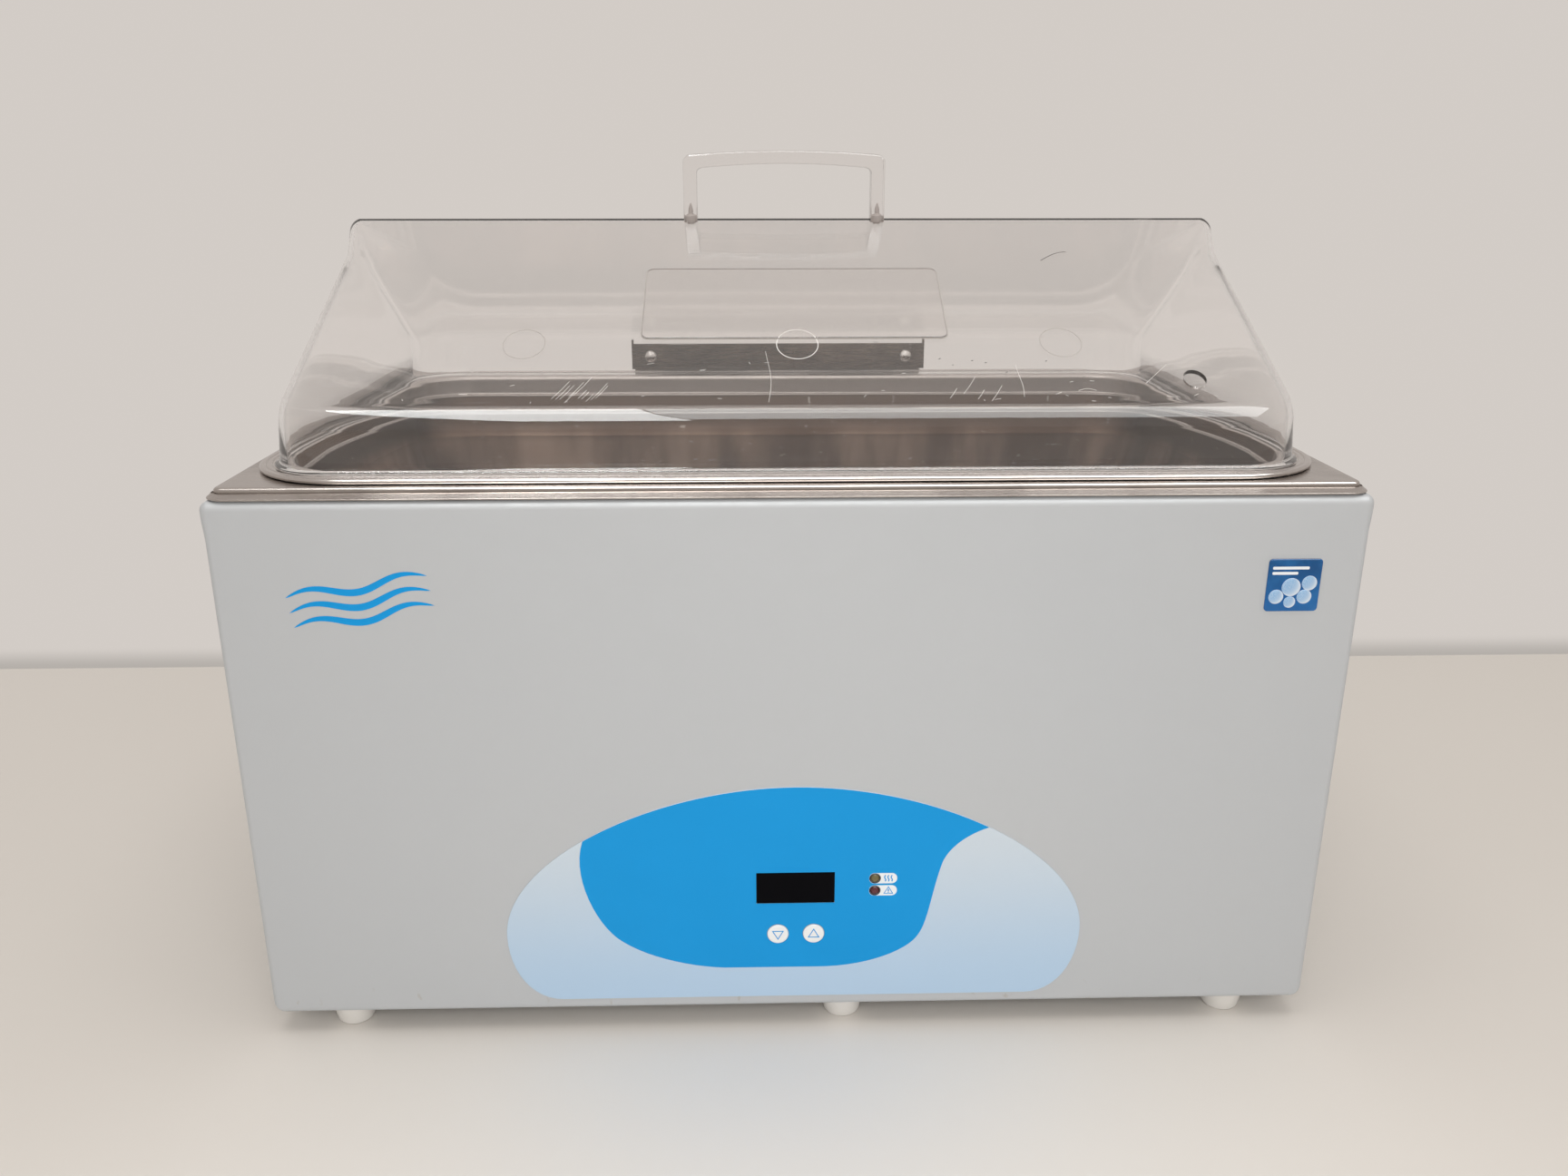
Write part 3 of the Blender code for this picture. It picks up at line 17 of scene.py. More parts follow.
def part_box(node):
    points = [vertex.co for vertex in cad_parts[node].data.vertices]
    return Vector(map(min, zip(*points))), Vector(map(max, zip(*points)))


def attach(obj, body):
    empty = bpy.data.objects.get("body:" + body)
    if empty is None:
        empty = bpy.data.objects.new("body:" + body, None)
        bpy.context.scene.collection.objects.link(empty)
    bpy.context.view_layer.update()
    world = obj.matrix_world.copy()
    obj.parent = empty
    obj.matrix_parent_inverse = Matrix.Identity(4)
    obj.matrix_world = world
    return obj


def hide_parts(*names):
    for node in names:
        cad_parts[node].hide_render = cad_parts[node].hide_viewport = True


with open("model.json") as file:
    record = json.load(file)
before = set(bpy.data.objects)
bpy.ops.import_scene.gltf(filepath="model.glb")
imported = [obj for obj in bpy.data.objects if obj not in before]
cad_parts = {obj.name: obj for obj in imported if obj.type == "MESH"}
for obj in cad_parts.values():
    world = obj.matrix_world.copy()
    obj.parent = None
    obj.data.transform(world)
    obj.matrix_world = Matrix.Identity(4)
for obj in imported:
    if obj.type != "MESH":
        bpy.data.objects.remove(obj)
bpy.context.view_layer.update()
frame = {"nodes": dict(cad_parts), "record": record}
NODES = frame["nodes"]

# Gap between a printed or fitted piece and the edge of its hole
GAP = 0.0003

# The frame's boxes that the finer pieces are built to
CASE_LOW, CASE_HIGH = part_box("outer_case")
PLATE_LOW, PLATE_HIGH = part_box("top_plate")
TANK_LOW, TANK_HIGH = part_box("tank")
LID_LOW, LID_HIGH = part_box("lid_shell")
GRIP_LOW, GRIP_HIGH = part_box("lid_handle")
CASE_MIDDLE = (CASE_LOW + CASE_HIGH) / 2
TANK_MIDDLE = (TANK_LOW + TANK_HIGH) / 2
LID_MIDDLE = (LID_LOW + LID_HIGH) / 2
FRONT = CASE_LOW.y
BACK = CASE_HIGH.y

# Lid, in the frame's own terms
LID_LIP = 0.0025
LID_HALF_LENGTH = (LID_HIGH.x - LID_LOW.x) / 2 - LID_LIP
LID_HALF_DEPTH = (LID_HIGH.y - LID_LOW.y) / 2 - LID_LIP
LID_NARROWING = 0.0085
LID_CORNER = 0.030
LID_WALL = 0.0022
LID_SLOPE = math.radians(28.8)
LID_RIDGE = LID_HIGH.z
LID_KNEE = LID_RIDGE - LID_HALF_DEPTH * math.tan(LID_SLOPE)
LID_KNEE_RADIUS = 0.0125
LID_END_RADIUS = 0.006
UP_SLOPE = Vector((0, math.cos(LID_SLOPE), math.sin(LID_SLOPE)))
OFF_SLOPE = Vector((0, -math.sin(LID_SLOPE), math.cos(LID_SLOPE)))

# Panel: the film's shift to the right, its front face and the printed blue field's, from the case
FILM_X = 0.0012
FILM_FACE = 0.0005
PRINT_FACE = 0.00056

# Middle of the raised pad on the front slope, to the right and up the slope
PAD_X = 0.003
PAD_UP = 0.0906

STUDIO_TONE = (0.648, 0.605, 0.568)

AXIS = {"X": Vector((1, 0, 0)), "Y": Vector((0, 1, 0)), "Z": Vector((0, 0, 1))}


def middle_of(node):
    """The middle of a frame node's box."""
    low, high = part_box(node)
    return (low + high) / 2


# Material helpers


class Look:
    """A Principled material, with short calls that wire procedural detail into it."""

    def __init__(self, name, colour, roughness, metallic=0.0):
        self.material = bpy.data.materials.new(name)
        self.material.use_nodes = True
        self.tree = self.material.node_tree
        self.shader = self.tree.nodes["Principled BSDF"]
        self.set("Base Color", (*colour, 1.0))
        self.set("Roughness", roughness)
        self.set("Metallic", metallic)
        self.place = self.tree.nodes.new("ShaderNodeTexCoord").outputs["Object"]

    def set(self, socket, value):
        self.shader.inputs[socket].default_value = value
        return self

    def link(self, source, target):
        self.tree.links.new(source, target)

    def stretched(self, scale, turn=0.0):
        """Object coordinates turned about Y by turn, then scaled along each axis."""
        node = self.tree.nodes.new("ShaderNodeMapping")
        node.inputs["Rotation"].default_value = (0, turn, 0)
        node.inputs["Scale"].default_value = scale
        self.link(self.place, node.inputs["Vector"])
        return node.outputs["Vector"]

    def noise(self, scale, detail=3.0, stretch=(1, 1, 1), turn=0.0):
        """Fractal noise of that scale, in object coordinates stretched and turned."""
        node = self.tree.nodes.new("ShaderNodeTexNoise")
        node.inputs["Scale"].default_value = scale
        node.inputs["Detail"].default_value = detail
        self.link(self.stretched(stretch, turn), node.inputs["Vector"])
        return node.outputs["Fac"]

    def along(self, axis):
        """One of the object's coordinates, in metres."""
        node = self.tree.nodes.new("ShaderNodeSeparateXYZ")
        self.link(self.place, node.inputs["Vector"])
        return node.outputs[axis]

    def between(self, source, low, high, at_low=0.0, at_high=1.0):
        """source mapped smoothly from low..high to at_low..at_high."""
        node = self.tree.nodes.new("ShaderNodeMapRange")
        node.interpolation_type = "SMOOTHSTEP"
        for socket, value in (("From Min", low), ("From Max", high), ("To Min", at_low), ("To Max", at_high)):
            node.inputs[socket].default_value = value
        self.link(source, node.inputs["Value"])
        return node.outputs["Result"]

    def maths(self, operation, first, second):
        """One operation on two sockets or numbers."""
        node = self.tree.nodes.new("ShaderNodeMath")
        node.operation = operation
        for socket, value in zip(node.inputs, (first, second)):
            if isinstance(value, (int, float)):
                socket.default_value = value
            else:
                self.link(value, socket)
        return node.outputs["Value"]

    def blend(self, factor, first, second):
        """A colour between two, each an RGB triple or a colour socket."""
        node = self.tree.nodes.new("ShaderNodeMix")
        node.data_type = "RGBA"
        self.link(factor, node.inputs["Factor"])
        for socket, value in ((node.inputs[6], first), (node.inputs[7], second)):
            if isinstance(value, tuple):
                socket.default_value = (*value, 1.0)
            else:
                self.link(value, socket)
        return node.outputs[2]

    def colour(self, source):
        self.link(source, self.shader.inputs["Base Color"])
        return self

    def drive(self, socket, source):
        self.link(source, self.shader.inputs[socket])
        return self

    def bump(self, height, strength, distance):
        """Relief from a height field, up to that distance deep."""
        node = self.tree.nodes.new("ShaderNodeBump")
        node.inputs["Strength"].default_value = strength
        node.inputs["Distance"].default_value = distance
        self.link(height, node.inputs["Height"])
        self.link(node.outputs["Normal"], self.shader.inputs["Normal"])
        return self

    def let_light_through(self, tint):
        """Shadow and diffuse rays pass straight through, so that what stands inside is lit."""
        nodes = self.tree.nodes
        rays = nodes.new("ShaderNodeLightPath")
        clear = nodes.new("ShaderNodeBsdfTransparent")
        clear.inputs["Color"].default_value = (*tint, 1.0)
        mixed = nodes.new("ShaderNodeMixShader")
        either = self.maths("MAXIMUM", rays.outputs["Is Shadow Ray"], rays.outputs["Is Diffuse Ray"])
        self.link(either, mixed.inputs["Fac"])
        self.link(self.shader.outputs["BSDF"], mixed.inputs[1])
        self.link(clear.outputs["BSDF"], mixed.inputs[2])
        self.link(mixed.outputs["Shader"], nodes["Material Output"].inputs["Surface"])
        return self


# Materials


def paint_look():
    """Smooth pale grey paint with a fine grain, and a few scuffs near the foot of the case."""
    look = Look("case_paint", (0.50, 0.53, 0.56), 0.42)
    cloud = look.noise(6, 3)
    worn = look.between(look.along("Z"), 0.034, 0.014)
    speck = look.between(look.noise(190, 4, (1, 1, 0.6)), 0.66, 0.76)
    tone = look.blend(cloud, (0.487, 0.513, 0.540), (0.503, 0.529, 0.555))
    scuff = look.maths("MULTIPLY", worn, speck)
    look.colour(look.blend(scuff, tone, (0.43, 0.43, 0.42)))
    look.drive("Roughness", look.between(look.noise(90, 2), 0.3, 0.7, 0.36, 0.48))
    look.bump(look.noise(900, 2), 0.06, 0.0004)
    return look.material


def steel_look(name, bright, dark, roughness, stretch=(0.05, 1, 1)):
    """Rolled stainless steel, with fine lines along X and soft stains."""
    look = Look(name, bright, roughness, 1.0)
    lines = look.noise(1400, 3, stretch)
    stain = look.between(look.noise(26, 5), 0.45, 0.70)
    look.colour(look.blend(stain, bright, dark))
    look.drive("Roughness", look.between(lines, 0.35, 0.65, roughness * 0.8, roughness * 1.25))
    look.bump(lines, 0.009, 0.0002)
    return look.material


def tank_look():
    """Bright on the rim and the collar. The walls below are dull and painted dark brown: partly scale, partly
    painted shade inside the pan, with a band of painted shade, almost black, just under the collar.
    """
    look = Look("tank_steel", (0.55, 0.52, 0.50), 0.24, 1.0)
    lines = look.noise(1100, 3, (1, 1, 0.04))
    cloud = look.between(look.noise(15, 4, (1, 1, 0.10)), 0.36, 0.66)
    # Painted shade and scale: the walls' dark brown stands for the shade inside the pan as well as for scale
    low_wall = look.blend(cloud, (0.095, 0.056, 0.040), (0.42, 0.305, 0.240))
    # Painted shade: the top of the wall, just under the collar, runs almost black
    wall = look.blend(look.between(look.along("Z"), 0.238, 0.272), low_wall, (0.060, 0.036, 0.025))
    depth = look.between(look.along("Z"), 0.2825, 0.2855)
    collar = look.between(look.along("Z"), 0.2925, 0.2950)
    upper = look.blend(collar, (0.42, 0.385, 0.365), (0.50, 0.462, 0.440))
    shade = look.blend(depth, wall, upper)
    scale = look.between(look.noise(170, 5), 0.66, 0.74, 0.0, 0.35)
    look.colour(look.blend(scale, shade, (0.60, 0.57, 0.53)))
    look.drive("Roughness", look.between(depth, 0, 1, 0.42, 0.22))
    look.bump(lines, 0.004, 0.0002)
    return look.material


def clear_look(name, tint, haze=0.0, edge=0.80, waves=0.035, edge_shade_from=0.70):
    """Clear moulded plastic, a little wavy and rubbed dull in streaks; its colour is darkened by painted shade
    where it is seen edge on, to draw its edges as dark lines.
    """
    look = Look(name, tint, 0.02)
    facing = look.tree.nodes.new("ShaderNodeLayerWeight").outputs["Facing"]
    # Painted shade: the tint darkens towards grazing view, standing in for the dark lines at the clear
    # plastic's edges
    edge_shade_tint = tuple(part * edge for part in tint)
    look.colour(look.blend(look.between(facing, edge_shade_from, 1.0), tint, edge_shade_tint))
    look.set("Transmission Weight", 0.98).set("IOR", 1.49).set("Specular IOR Level", 0.42)
    streaks = look.between(look.noise(260, 3, (0.06, 1, 1), turn=0.5), 0.66, 0.74)
    cross = look.between(look.noise(210, 3, (1, 1, 0.05), turn=0.35), 0.68, 0.76)
    face_on = look.between(facing, 0.80, 0.50)
    rubbed = look.maths("MULTIPLY", look.maths("MAXIMUM", streaks, cross), face_on)
    look.drive("Roughness", look.between(rubbed, 0, 1, 0.015 + haze, 0.10 + haze))
    look.bump(look.noise(14, 2), waves, 0.0010)
    look.let_light_through((0.90, 0.88, 0.87))
    return look.material


def plastic_look(name, colour, roughness, grain=700, depth=0.00015, shine=0.5):
    """Moulded plastic, rubber, print or card: a slightly uneven colour and gloss, and a fine grain."""
    look = Look(name, colour, roughness).set("Specular IOR Level", shine)
    lighter = tuple(min(1.0, part * 1.05 + 0.001) for part in colour)
    look.colour(look.blend(look.noise(35, 3), colour, lighter))
    look.drive("Roughness", look.between(look.noise(120, 2), 0.3, 0.7, roughness * 0.9, roughness * 1.15))
    look.bump(look.noise(grain, 2), 0.12, depth)
    return look.material


def film_look():
    """The printed film: pale grey-white at the top, running to light blue at the bottom."""
    look = Look("fascia_film", (0.6, 0.7, 0.8), 0.38)
    look.set("Specular IOR Level", 0.2)
    down = look.between(look.along("Z"), 0.125, 0.020)
    look.colour(look.blend(down, (0.605, 0.69, 0.770), (0.455, 0.62, 0.81)))
    look.bump(look.noise(1200, 2), 0.05, 0.0001)
    return look.material


def badge_look():
    """Deep blue under a clear dome, streaked and darker towards the top."""
    look = Look("badge_blue", (0.02, 0.2, 0.55), 0.12)
    look.set("Coat Weight", 0.4).set("Coat Roughness", 0.04).set("Specular IOR Level", 0.2)
    up = look.between(look.along("Z"), 0.2330, 0.2580)
    streak = look.between(look.noise(90, 3), 0.4, 0.7, 0.0, 0.5)
    base = look.blend(up, (0.006, 0.115, 0.36), (0.004, 0.070, 0.22))
    look.colour(look.blend(streak, base, (0.02, 0.17, 0.46)))
    return look.material


def cell_look():
    """A pale disc, bluer in its middle and faintly grained."""
    look = Look("badge_pale", (0.60, 0.72, 0.84), 0.3)
    facing = look.tree.nodes.new("ShaderNodeLayerWeight").outputs["Facing"]
    grain = look.between(look.noise(2600, 2), 0.35, 0.65, 0.0, 0.4)
    rim = look.maths("MAXIMUM", look.between(facing, 0.06, 0.30), grain)
    look.colour(look.blend(rim, (0.22, 0.43, 0.70), (0.66, 0.76, 0.88)))
    return look.material


def floor_look():
    """A pale table top. Behind the bath it gives way to the plain, evenly lit ground of the studio, with a
    strip of painted shadow along the table's back edge.
    """
    look = Look("floor_pale", (0.66, 0.61, 0.56), 0.55)
    cloud = look.noise(1.2, 3)
    look.colour(look.blend(cloud, (0.685, 0.660, 0.620), (0.720, 0.695, 0.665)))
    nodes = look.tree.nodes
    ground = nodes.new("ShaderNodeEmission")
    # Painted shadow: the ground darkens towards the table's back edge, as shade at the foot of a wall
    shade = look.between(look.along("Y"), 0.392, 0.336)
    look.link(look.blend(shade, STUDIO_TONE, (0.46, 0.43, 0.40)), ground.inputs["Color"])
    mixed = nodes.new("ShaderNodeMixShader")
    look.link(look.between(look.along("Y"), 0.334, 0.337), mixed.inputs["Fac"])
    look.link(look.shader.outputs["BSDF"], mixed.inputs[1])
    look.link(ground.outputs["Emission"], mixed.inputs[2])
    look.link(mixed.outputs["Shader"], nodes["Material Output"].inputs["Surface"])
    return look.material


LOOKS = {
    "case_paint": paint_look(),
    "steel": steel_look("steel_plate", (0.445, 0.405, 0.380), (0.335, 0.300, 0.280), 0.22, (0.01, 1, 1)),
    "tank": tank_look(),
    "hinge_steel": steel_look("hinge_steel", (0.170, 0.128, 0.100), (0.090, 0.066, 0.050), 0.26),
    "dome_steel": steel_look("dome_steel", (0.66, 0.63, 0.61), (0.50, 0.47, 0.45), 0.24, (1, 1, 1)),
    "zinc": steel_look("zinc_plate", (0.62, 0.62, 0.61), (0.45, 0.45, 0.44), 0.38, (1, 1, 1)),
    "heatsink": steel_look("heatsink_metal", (0.55, 0.56, 0.57), (0.45, 0.46, 0.47), 0.45),
    "brass": steel_look("brass_turned", (0.72, 0.54, 0.26), (0.50, 0.36, 0.16), 0.30, (1, 0.05, 1)),
    "lid_plastic": clear_look("lid_clear", (0.998, 0.990, 0.988)),
    "pad_plastic": clear_look("pad_clear", (0.965, 0.955, 0.95), 0.02),
    # The grip gets the strongest painted shade along its edges
    "grip_plastic": clear_look("grip_clear", (0.935, 0.92, 0.915), 0.0, 0.35, 0.05, 0.25),
    "foot_rubber": plastic_look("foot_rubber", (0.74, 0.73, 0.71), 0.6, 500, 0.0003),
    "fascia": film_look(),
    "fascia_blue": plastic_look("fascia_blue", (0.007, 0.305, 0.720), 0.38, 1200, 0.0001, 0.15),
    "white_print": plastic_look("white_print", (0.82, 0.86, 0.90), 0.4, 1200, 0.0001),
    "window": plastic_look("display_window", (0.002, 0.002, 0.003), 0.16, 300, 0.00002, 0.03),
    "button": plastic_look("button_white", (0.84, 0.86, 0.88), 0.4),
    "amber": plastic_look("lamp_amber", (0.14, 0.12, 0.05), 0.2),
    "red": plastic_look("lamp_red", (0.09, 0.015, 0.02), 0.2),
    "black_plastic": plastic_look("black_plastic", (0.018, 0.018, 0.020), 0.42),
    "badge": badge_look(),
    "badge_pale": cell_look(),
    "circuit_board": plastic_look("circuit_board", (0.02, 0.16, 0.06), 0.45, 400, 0.0001),
    "insulation": plastic_look("insulation_wool", (0.70, 0.66, 0.55), 0.95, 260, 0.0012),
    "silicone": plastic_look("silicone_mat", (0.42, 0.11, 0.06), 0.65, 300, 0.0005),
    "wire": plastic_look("wire_sleeve", (0.46, 0.10, 0.06), 0.5, 600, 0.0003),
    "scratch": plastic_look("scratch_white", (0.86, 0.85, 0.84), 0.6),
    # Grey lines of painted shade on the clear lid
    "mould_line": plastic_look("mould_line", (0.42, 0.39, 0.37), 0.5),
    "speck": plastic_look("speck_dark", (0.05, 0.045, 0.04), 0.6),
    "pin_plastic": plastic_look("pin_plastic", (0.44, 0.41, 0.40), 0.2),
}


# Mesh helpers


def smooth(mesh):
    """Smooth shading, with the edges steeper than 30 degrees kept sharp."""
    mesh.shade_smooth()
    mesh.set_sharp_from_angle(angle=math.radians(30))


def piece(name, points, faces, look, body, slot, stands_for=()):
    """One closed mesh piece with its faces turned outwards. It rides on a body, unless it is only a cutter."""
    mesh = bpy.data.meshes.new(name)
    mesh.from_pydata([tuple(point) for point in points], [], faces)
    work = bmesh.new()
    work.from_mesh(mesh)
    bmesh.ops.recalc_face_normals(work, faces=work.faces)
    if work.calc_volume(signed=True) < 0:
        bmesh.ops.reverse_faces(work, faces=work.faces)
    work.to_mesh(mesh)
    work.free()
    mesh.materials.append(LOOKS[look])
    smooth(mesh)
    thing = bpy.data.objects.new(name, mesh)
    bpy.context.scene.collection.objects.link(thing)
    if body:
        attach(thing, body)
    if stands_for:
        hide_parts(*stands_for)
    return thing


def rounded_outline(half_u, half_v, radius, steps):
    """Points of a rounded rectangle round the origin, anticlockwise, steps + 1 on each corner."""
    corners = ((1, 1, 0), (-1, 1, 90), (-1, -1, 180), (1, -1, 270))
    points = []
    for side_u, side_v, start in corners:
        for step in range(steps + 1):
            turn = math.radians(start + 90 * step / steps)
            u = side_u * (half_u - radius) + radius * math.cos(turn)
            v = side_v * (half_v - radius) + radius * math.sin(turn)
            points.append((u, v))
    return points


def skin(rings, closed):
    """(points, faces) of a loft through rings of equal size."""
    count = len(rings[0])
    points = [point for ring in rings for point in ring]
    faces = []
    for first in range(len(rings) if closed else len(rings) - 1):
        second = (first + 1) % len(rings)
        for k in range(count):
            following = (k + 1) % count
            corners = (first, k), (first, following), (second, following), (second, k)
            faces.append([ring * count + index for ring, index in corners])
    if not closed:
        faces.append(list(range(count))[::-1])
        faces.append(list(range((len(rings) - 1) * count, len(rings) * count)))
    return points, faces


def level(half_x, half_y, radius, z, middle, steps):
    """One horizontal ring."""
    outline = rounded_outline(half_x, half_y, radius, steps)
    return [Vector((middle.x + x, middle.y + y, z)) for x, y in outline]


def prism(name, outline, place, along, *rest, **more):
    """An outline of (u, v) pairs, put in space by place(u, v), and extruded by the vector along."""
    near = [Vector(place(u, v)) for u, v in outline]
    far = [point + along for point in near]
    return piece(name, *skin([near, far], False), *rest, **more)


def turned(name, origin, axis, profile, *rest, segments=48, hollow=False, **more):
    """A profile of (radius, distance along the axis) turned round an axis from origin."""
    along = AXIS[axis]
    side = AXIS["XYZ"[("XYZ".index(axis) + 1) % 3]]
    other = along.cross(side)
    rings = []
    for radius, distance in profile:
        turns = [2 * math.pi * (k + 0.5) / segments for k in range(segments)]
        spokes = [side * math.cos(t) + other * math.sin(t) for t in turns]
        rings.append([Vector(origin) + along * distance + spoke * radius for spoke in spokes])
    return piece(name, *skin(rings, hollow), *rest, **more)


def bezier(a, b, c, d, steps):
    """Points of a cubic curve, without its last one."""
    points = []
    for k in range(steps):
        t = k / steps
        weights = ((1 - t) ** 3, 3 * t * (1 - t) ** 2, 3 * t**2 * (1 - t), t**3)
        points.append(tuple(sum(w * p[i] for w, p in zip(weights, (a, b, c, d))) for i in (0, 1)))
    return points


def round_edges(thing, width, segments):
    """A bevel along every edge steeper than 35 degrees."""
    edge = thing.modifiers.new("round_edges", "BEVEL")
    edge.width = width
    edge.segments = segments
    edge.limit_method = "ANGLE"
    edge.angle_limit = math.radians(35)


def cut(thing, *tools):
    """Takes each tool's volume out of the piece for good, and removes the tool."""
    for tool in tools:
        difference = thing.modifiers.new("cut", "BOOLEAN")
        difference.operation = "DIFFERENCE"
        difference.solver = "EXACT"
        difference.object = tool
    graph = bpy.context.evaluated_depsgraph_get()
    mesh = bpy.data.meshes.new_from_object(thing.evaluated_get(graph))
    thing.modifiers.clear()
    thing.data = mesh
    for tool in tools:
        bpy.data.objects.remove(tool)
    smooth(mesh)
    return thing


def box_tool(low, high):
    """A cutter from one corner of a box to the other."""
    outline = ((low[0], low[1]), (high[0], low[1]), (high[0], high[1]), (low[0], high[1]))
    rise = Vector((0, 0, high[2] - low[2]))
    return prism("tool", outline, lambda x, y: (x, y, low[2]), rise, "zinc", None, None)


def round_tool(origin, axis, radius, length, segments=32):
    """A round cutter of that length along an axis from origin."""
    return turned("tool", origin, axis, ((radius, 0), (radius, length)), "zinc", None, None, segments=segments)


def quarter(start, end, steps):
    """Angles in radians from start to end degrees, both included."""
    return [math.radians(start + (end - start) * k / steps) for k in range(steps + 1)]


def node_tool(node, axis, clearance):
    """A round cutter along a frame node's own axis, a little wider than the node's box."""
    low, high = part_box(node)
    middle = (low + high) / 2
    radius = max((high - low)[i] for i in range(3) if "XYZ"[i] != axis) / 2 + clearance
    start = middle.copy()
    start["XYZ".index(axis)] -= 0.02
    return round_tool(start, axis, radius, 0.04)


# Case and feet


def make_case():
    """The wrapper: rolled edges, and sides that flare a little towards the top."""
    half = (CASE_HIGH - CASE_LOW) / 2
    wall, flare, roll, foot_roll, side_roll = 0.0012, 0.0011, 0.0045, 0.003, 0.006
    bottom, top = CASE_LOW.z, CASE_HIGH.z
    rings = []

    def add(inset_x, inset_y, z):
        corner = max(0.0034 - min(inset_x - flare, inset_y), 0.0012)
        rings.append(level(half.x - inset_x, half.y - inset_y, corner, z, CASE_MIDDLE, 10))

    add(0.027, 0.027, bottom)
    for turn in quarter(90, 0, 10):
        rise = side_roll * (1 - math.sin(turn))
        front = foot_roll - math.sqrt(max(foot_roll**2 - max(foot_roll - rise, 0) ** 2, 0))
        add(flare + side_roll * (1 - math.cos(turn)), front, bottom + rise)
    swell = ((1.0, 0.0210), (0.93, 0.0180), (0.70, 0.0150), (0.30, 0.0115), (0.07, 0.0090), (0, 0.0070))
    for share, drop in swell:
        add(flare * share, 0, top - drop)
    for turn in quarter(0, 90, 10):
        inset = roll * (1 - math.cos(turn))
        add(inset, inset, top - roll * (1 - math.sin(turn)))
    add(0.012, 0.012, top)
    add(0.012, 0.012, top - wall)
    add(wall + roll, wall + roll, top - wall)
    add(wall, wall, top - roll)
    add(wall, wall, top - 0.0080)
    add(wall + flare, wall, top - 0.0210)
    add(wall + flare, wall, bottom + side_roll)
    add(wall + flare + side_roll, wall + foot_roll, bottom + wall)
    add(0.027, 0.027, bottom + wall)
    case = piece("case_shell", *skin(rings, True), "case_paint", "root", "case_paint", ("outer_case",))
    entry_low, entry_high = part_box("mains_inlet")
    inset = 0.0012
    window_low, window_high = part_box("display_window")
    tools = [
        box_tool(
            (entry_low.x + inset, BACK - 0.010, entry_low.z + inset),
            (entry_high.x - inset, BACK + 0.010, entry_high.z - inset),
        ),
        box_tool(
            (window_low.x - GAP, FRONT - 0.01, window_low.z - GAP),
            (window_high.x + GAP, FRONT + 0.01, window_high.z + GAP),
        ),
        round_tool((-0.150, BACK - 0.01, 0.050), "Y", 0.0068, 0.03),
    ]
    for number in range(1, 7):
        stem = middle_of(f"foot_{number}")
        tools.append(round_tool((stem.x, stem.y, bottom - 0.002), "Z", 0.0045, 0.005))
    cut(case, *tools)


def make_feet():
    """Six tapered rubber feet with a softly rounded tread and a recess in it."""
    for number in range(1, 7):
        node = f"foot_{number}"
        low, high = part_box(node)
        centre = ((low.x + high.x) / 2, (low.y + high.y) / 2, 0)
        top = CASE_LOW.z - 0.0001
        profile = (
            (0.0030, 0.0012),
            (0.0036, 0.0002),
            (0.0078, 0.0),
            (0.0090, 0.0004),
            (0.0097, 0.0014),
            (0.0116, top - 0.0012),
            (0.0120, top - 0.0005),
            (0.0118, top),
            (0.0042, top),
            (0.0042, top + 0.0030),
            (0.0055, top + 0.0030),
            (0.0032, high.z),
        )
        turned(f"rubber_foot_{number}", centre, "Z", profile, "foot_rubber", "root", "foot_rubber", (node,))


# Steel top and tank


def make_steel_top():
    """The pressed plate: flange, fillet, upright step, rounded edge and flat."""
    outer = (PLATE_HIGH - PLATE_LOW) / 2
    wall = 0.001
    flange = PLATE_LOW.z + wall
    top = PLATE_HIGH.z
    side, front, corner = 0.0027, 0.0074, 0.004
    opening = (0.0205, 0.0242)
    rings = []

    def add(inset_x, inset_y, radius, z):
        rings.append(level(outer.x - inset_x, outer.y - inset_y, radius, z, CASE_MIDDLE, 8))

    add(0.0004, 0.0004, 0.0096, flange - wall)
    for turn in quarter(-90, 90, 6):
        edge = wall / 2
        inset = edge * (1 - math.cos(turn))
        add(inset, inset, 0.010, flange - edge + edge * math.sin(turn))
    fillet = 0.0012
    for turn in quarter(90, 0, 5):
        back = fillet * math.sin(turn)
        add(side - back, front - back, corner + back, flange + fillet * (1 - math.cos(turn)))
    bend = 0.0014
    for turn in quarter(0, 90, 6):
        back = bend * (1 - math.cos(turn))
        add(side + back, front + back, corner, top - bend * (1 - math.sin(turn)))
    add(side + 0.0040, front + 0.0040, corner + 0.002, top)
    add(*opening, 0.038, top)
    add(*opening, 0.038, top - wall)
    add(side + wall + 0.0008, front + wall + 0.0008, corner, top - wall)
    add(side + wall, front + wall, corner, top - wall - 0.0008)
    add(side + wall, front + wall, corner, flange - wall)
    piece("steel_top", *skin(rings, True), "steel", "root", "steel", ("top_plate",))


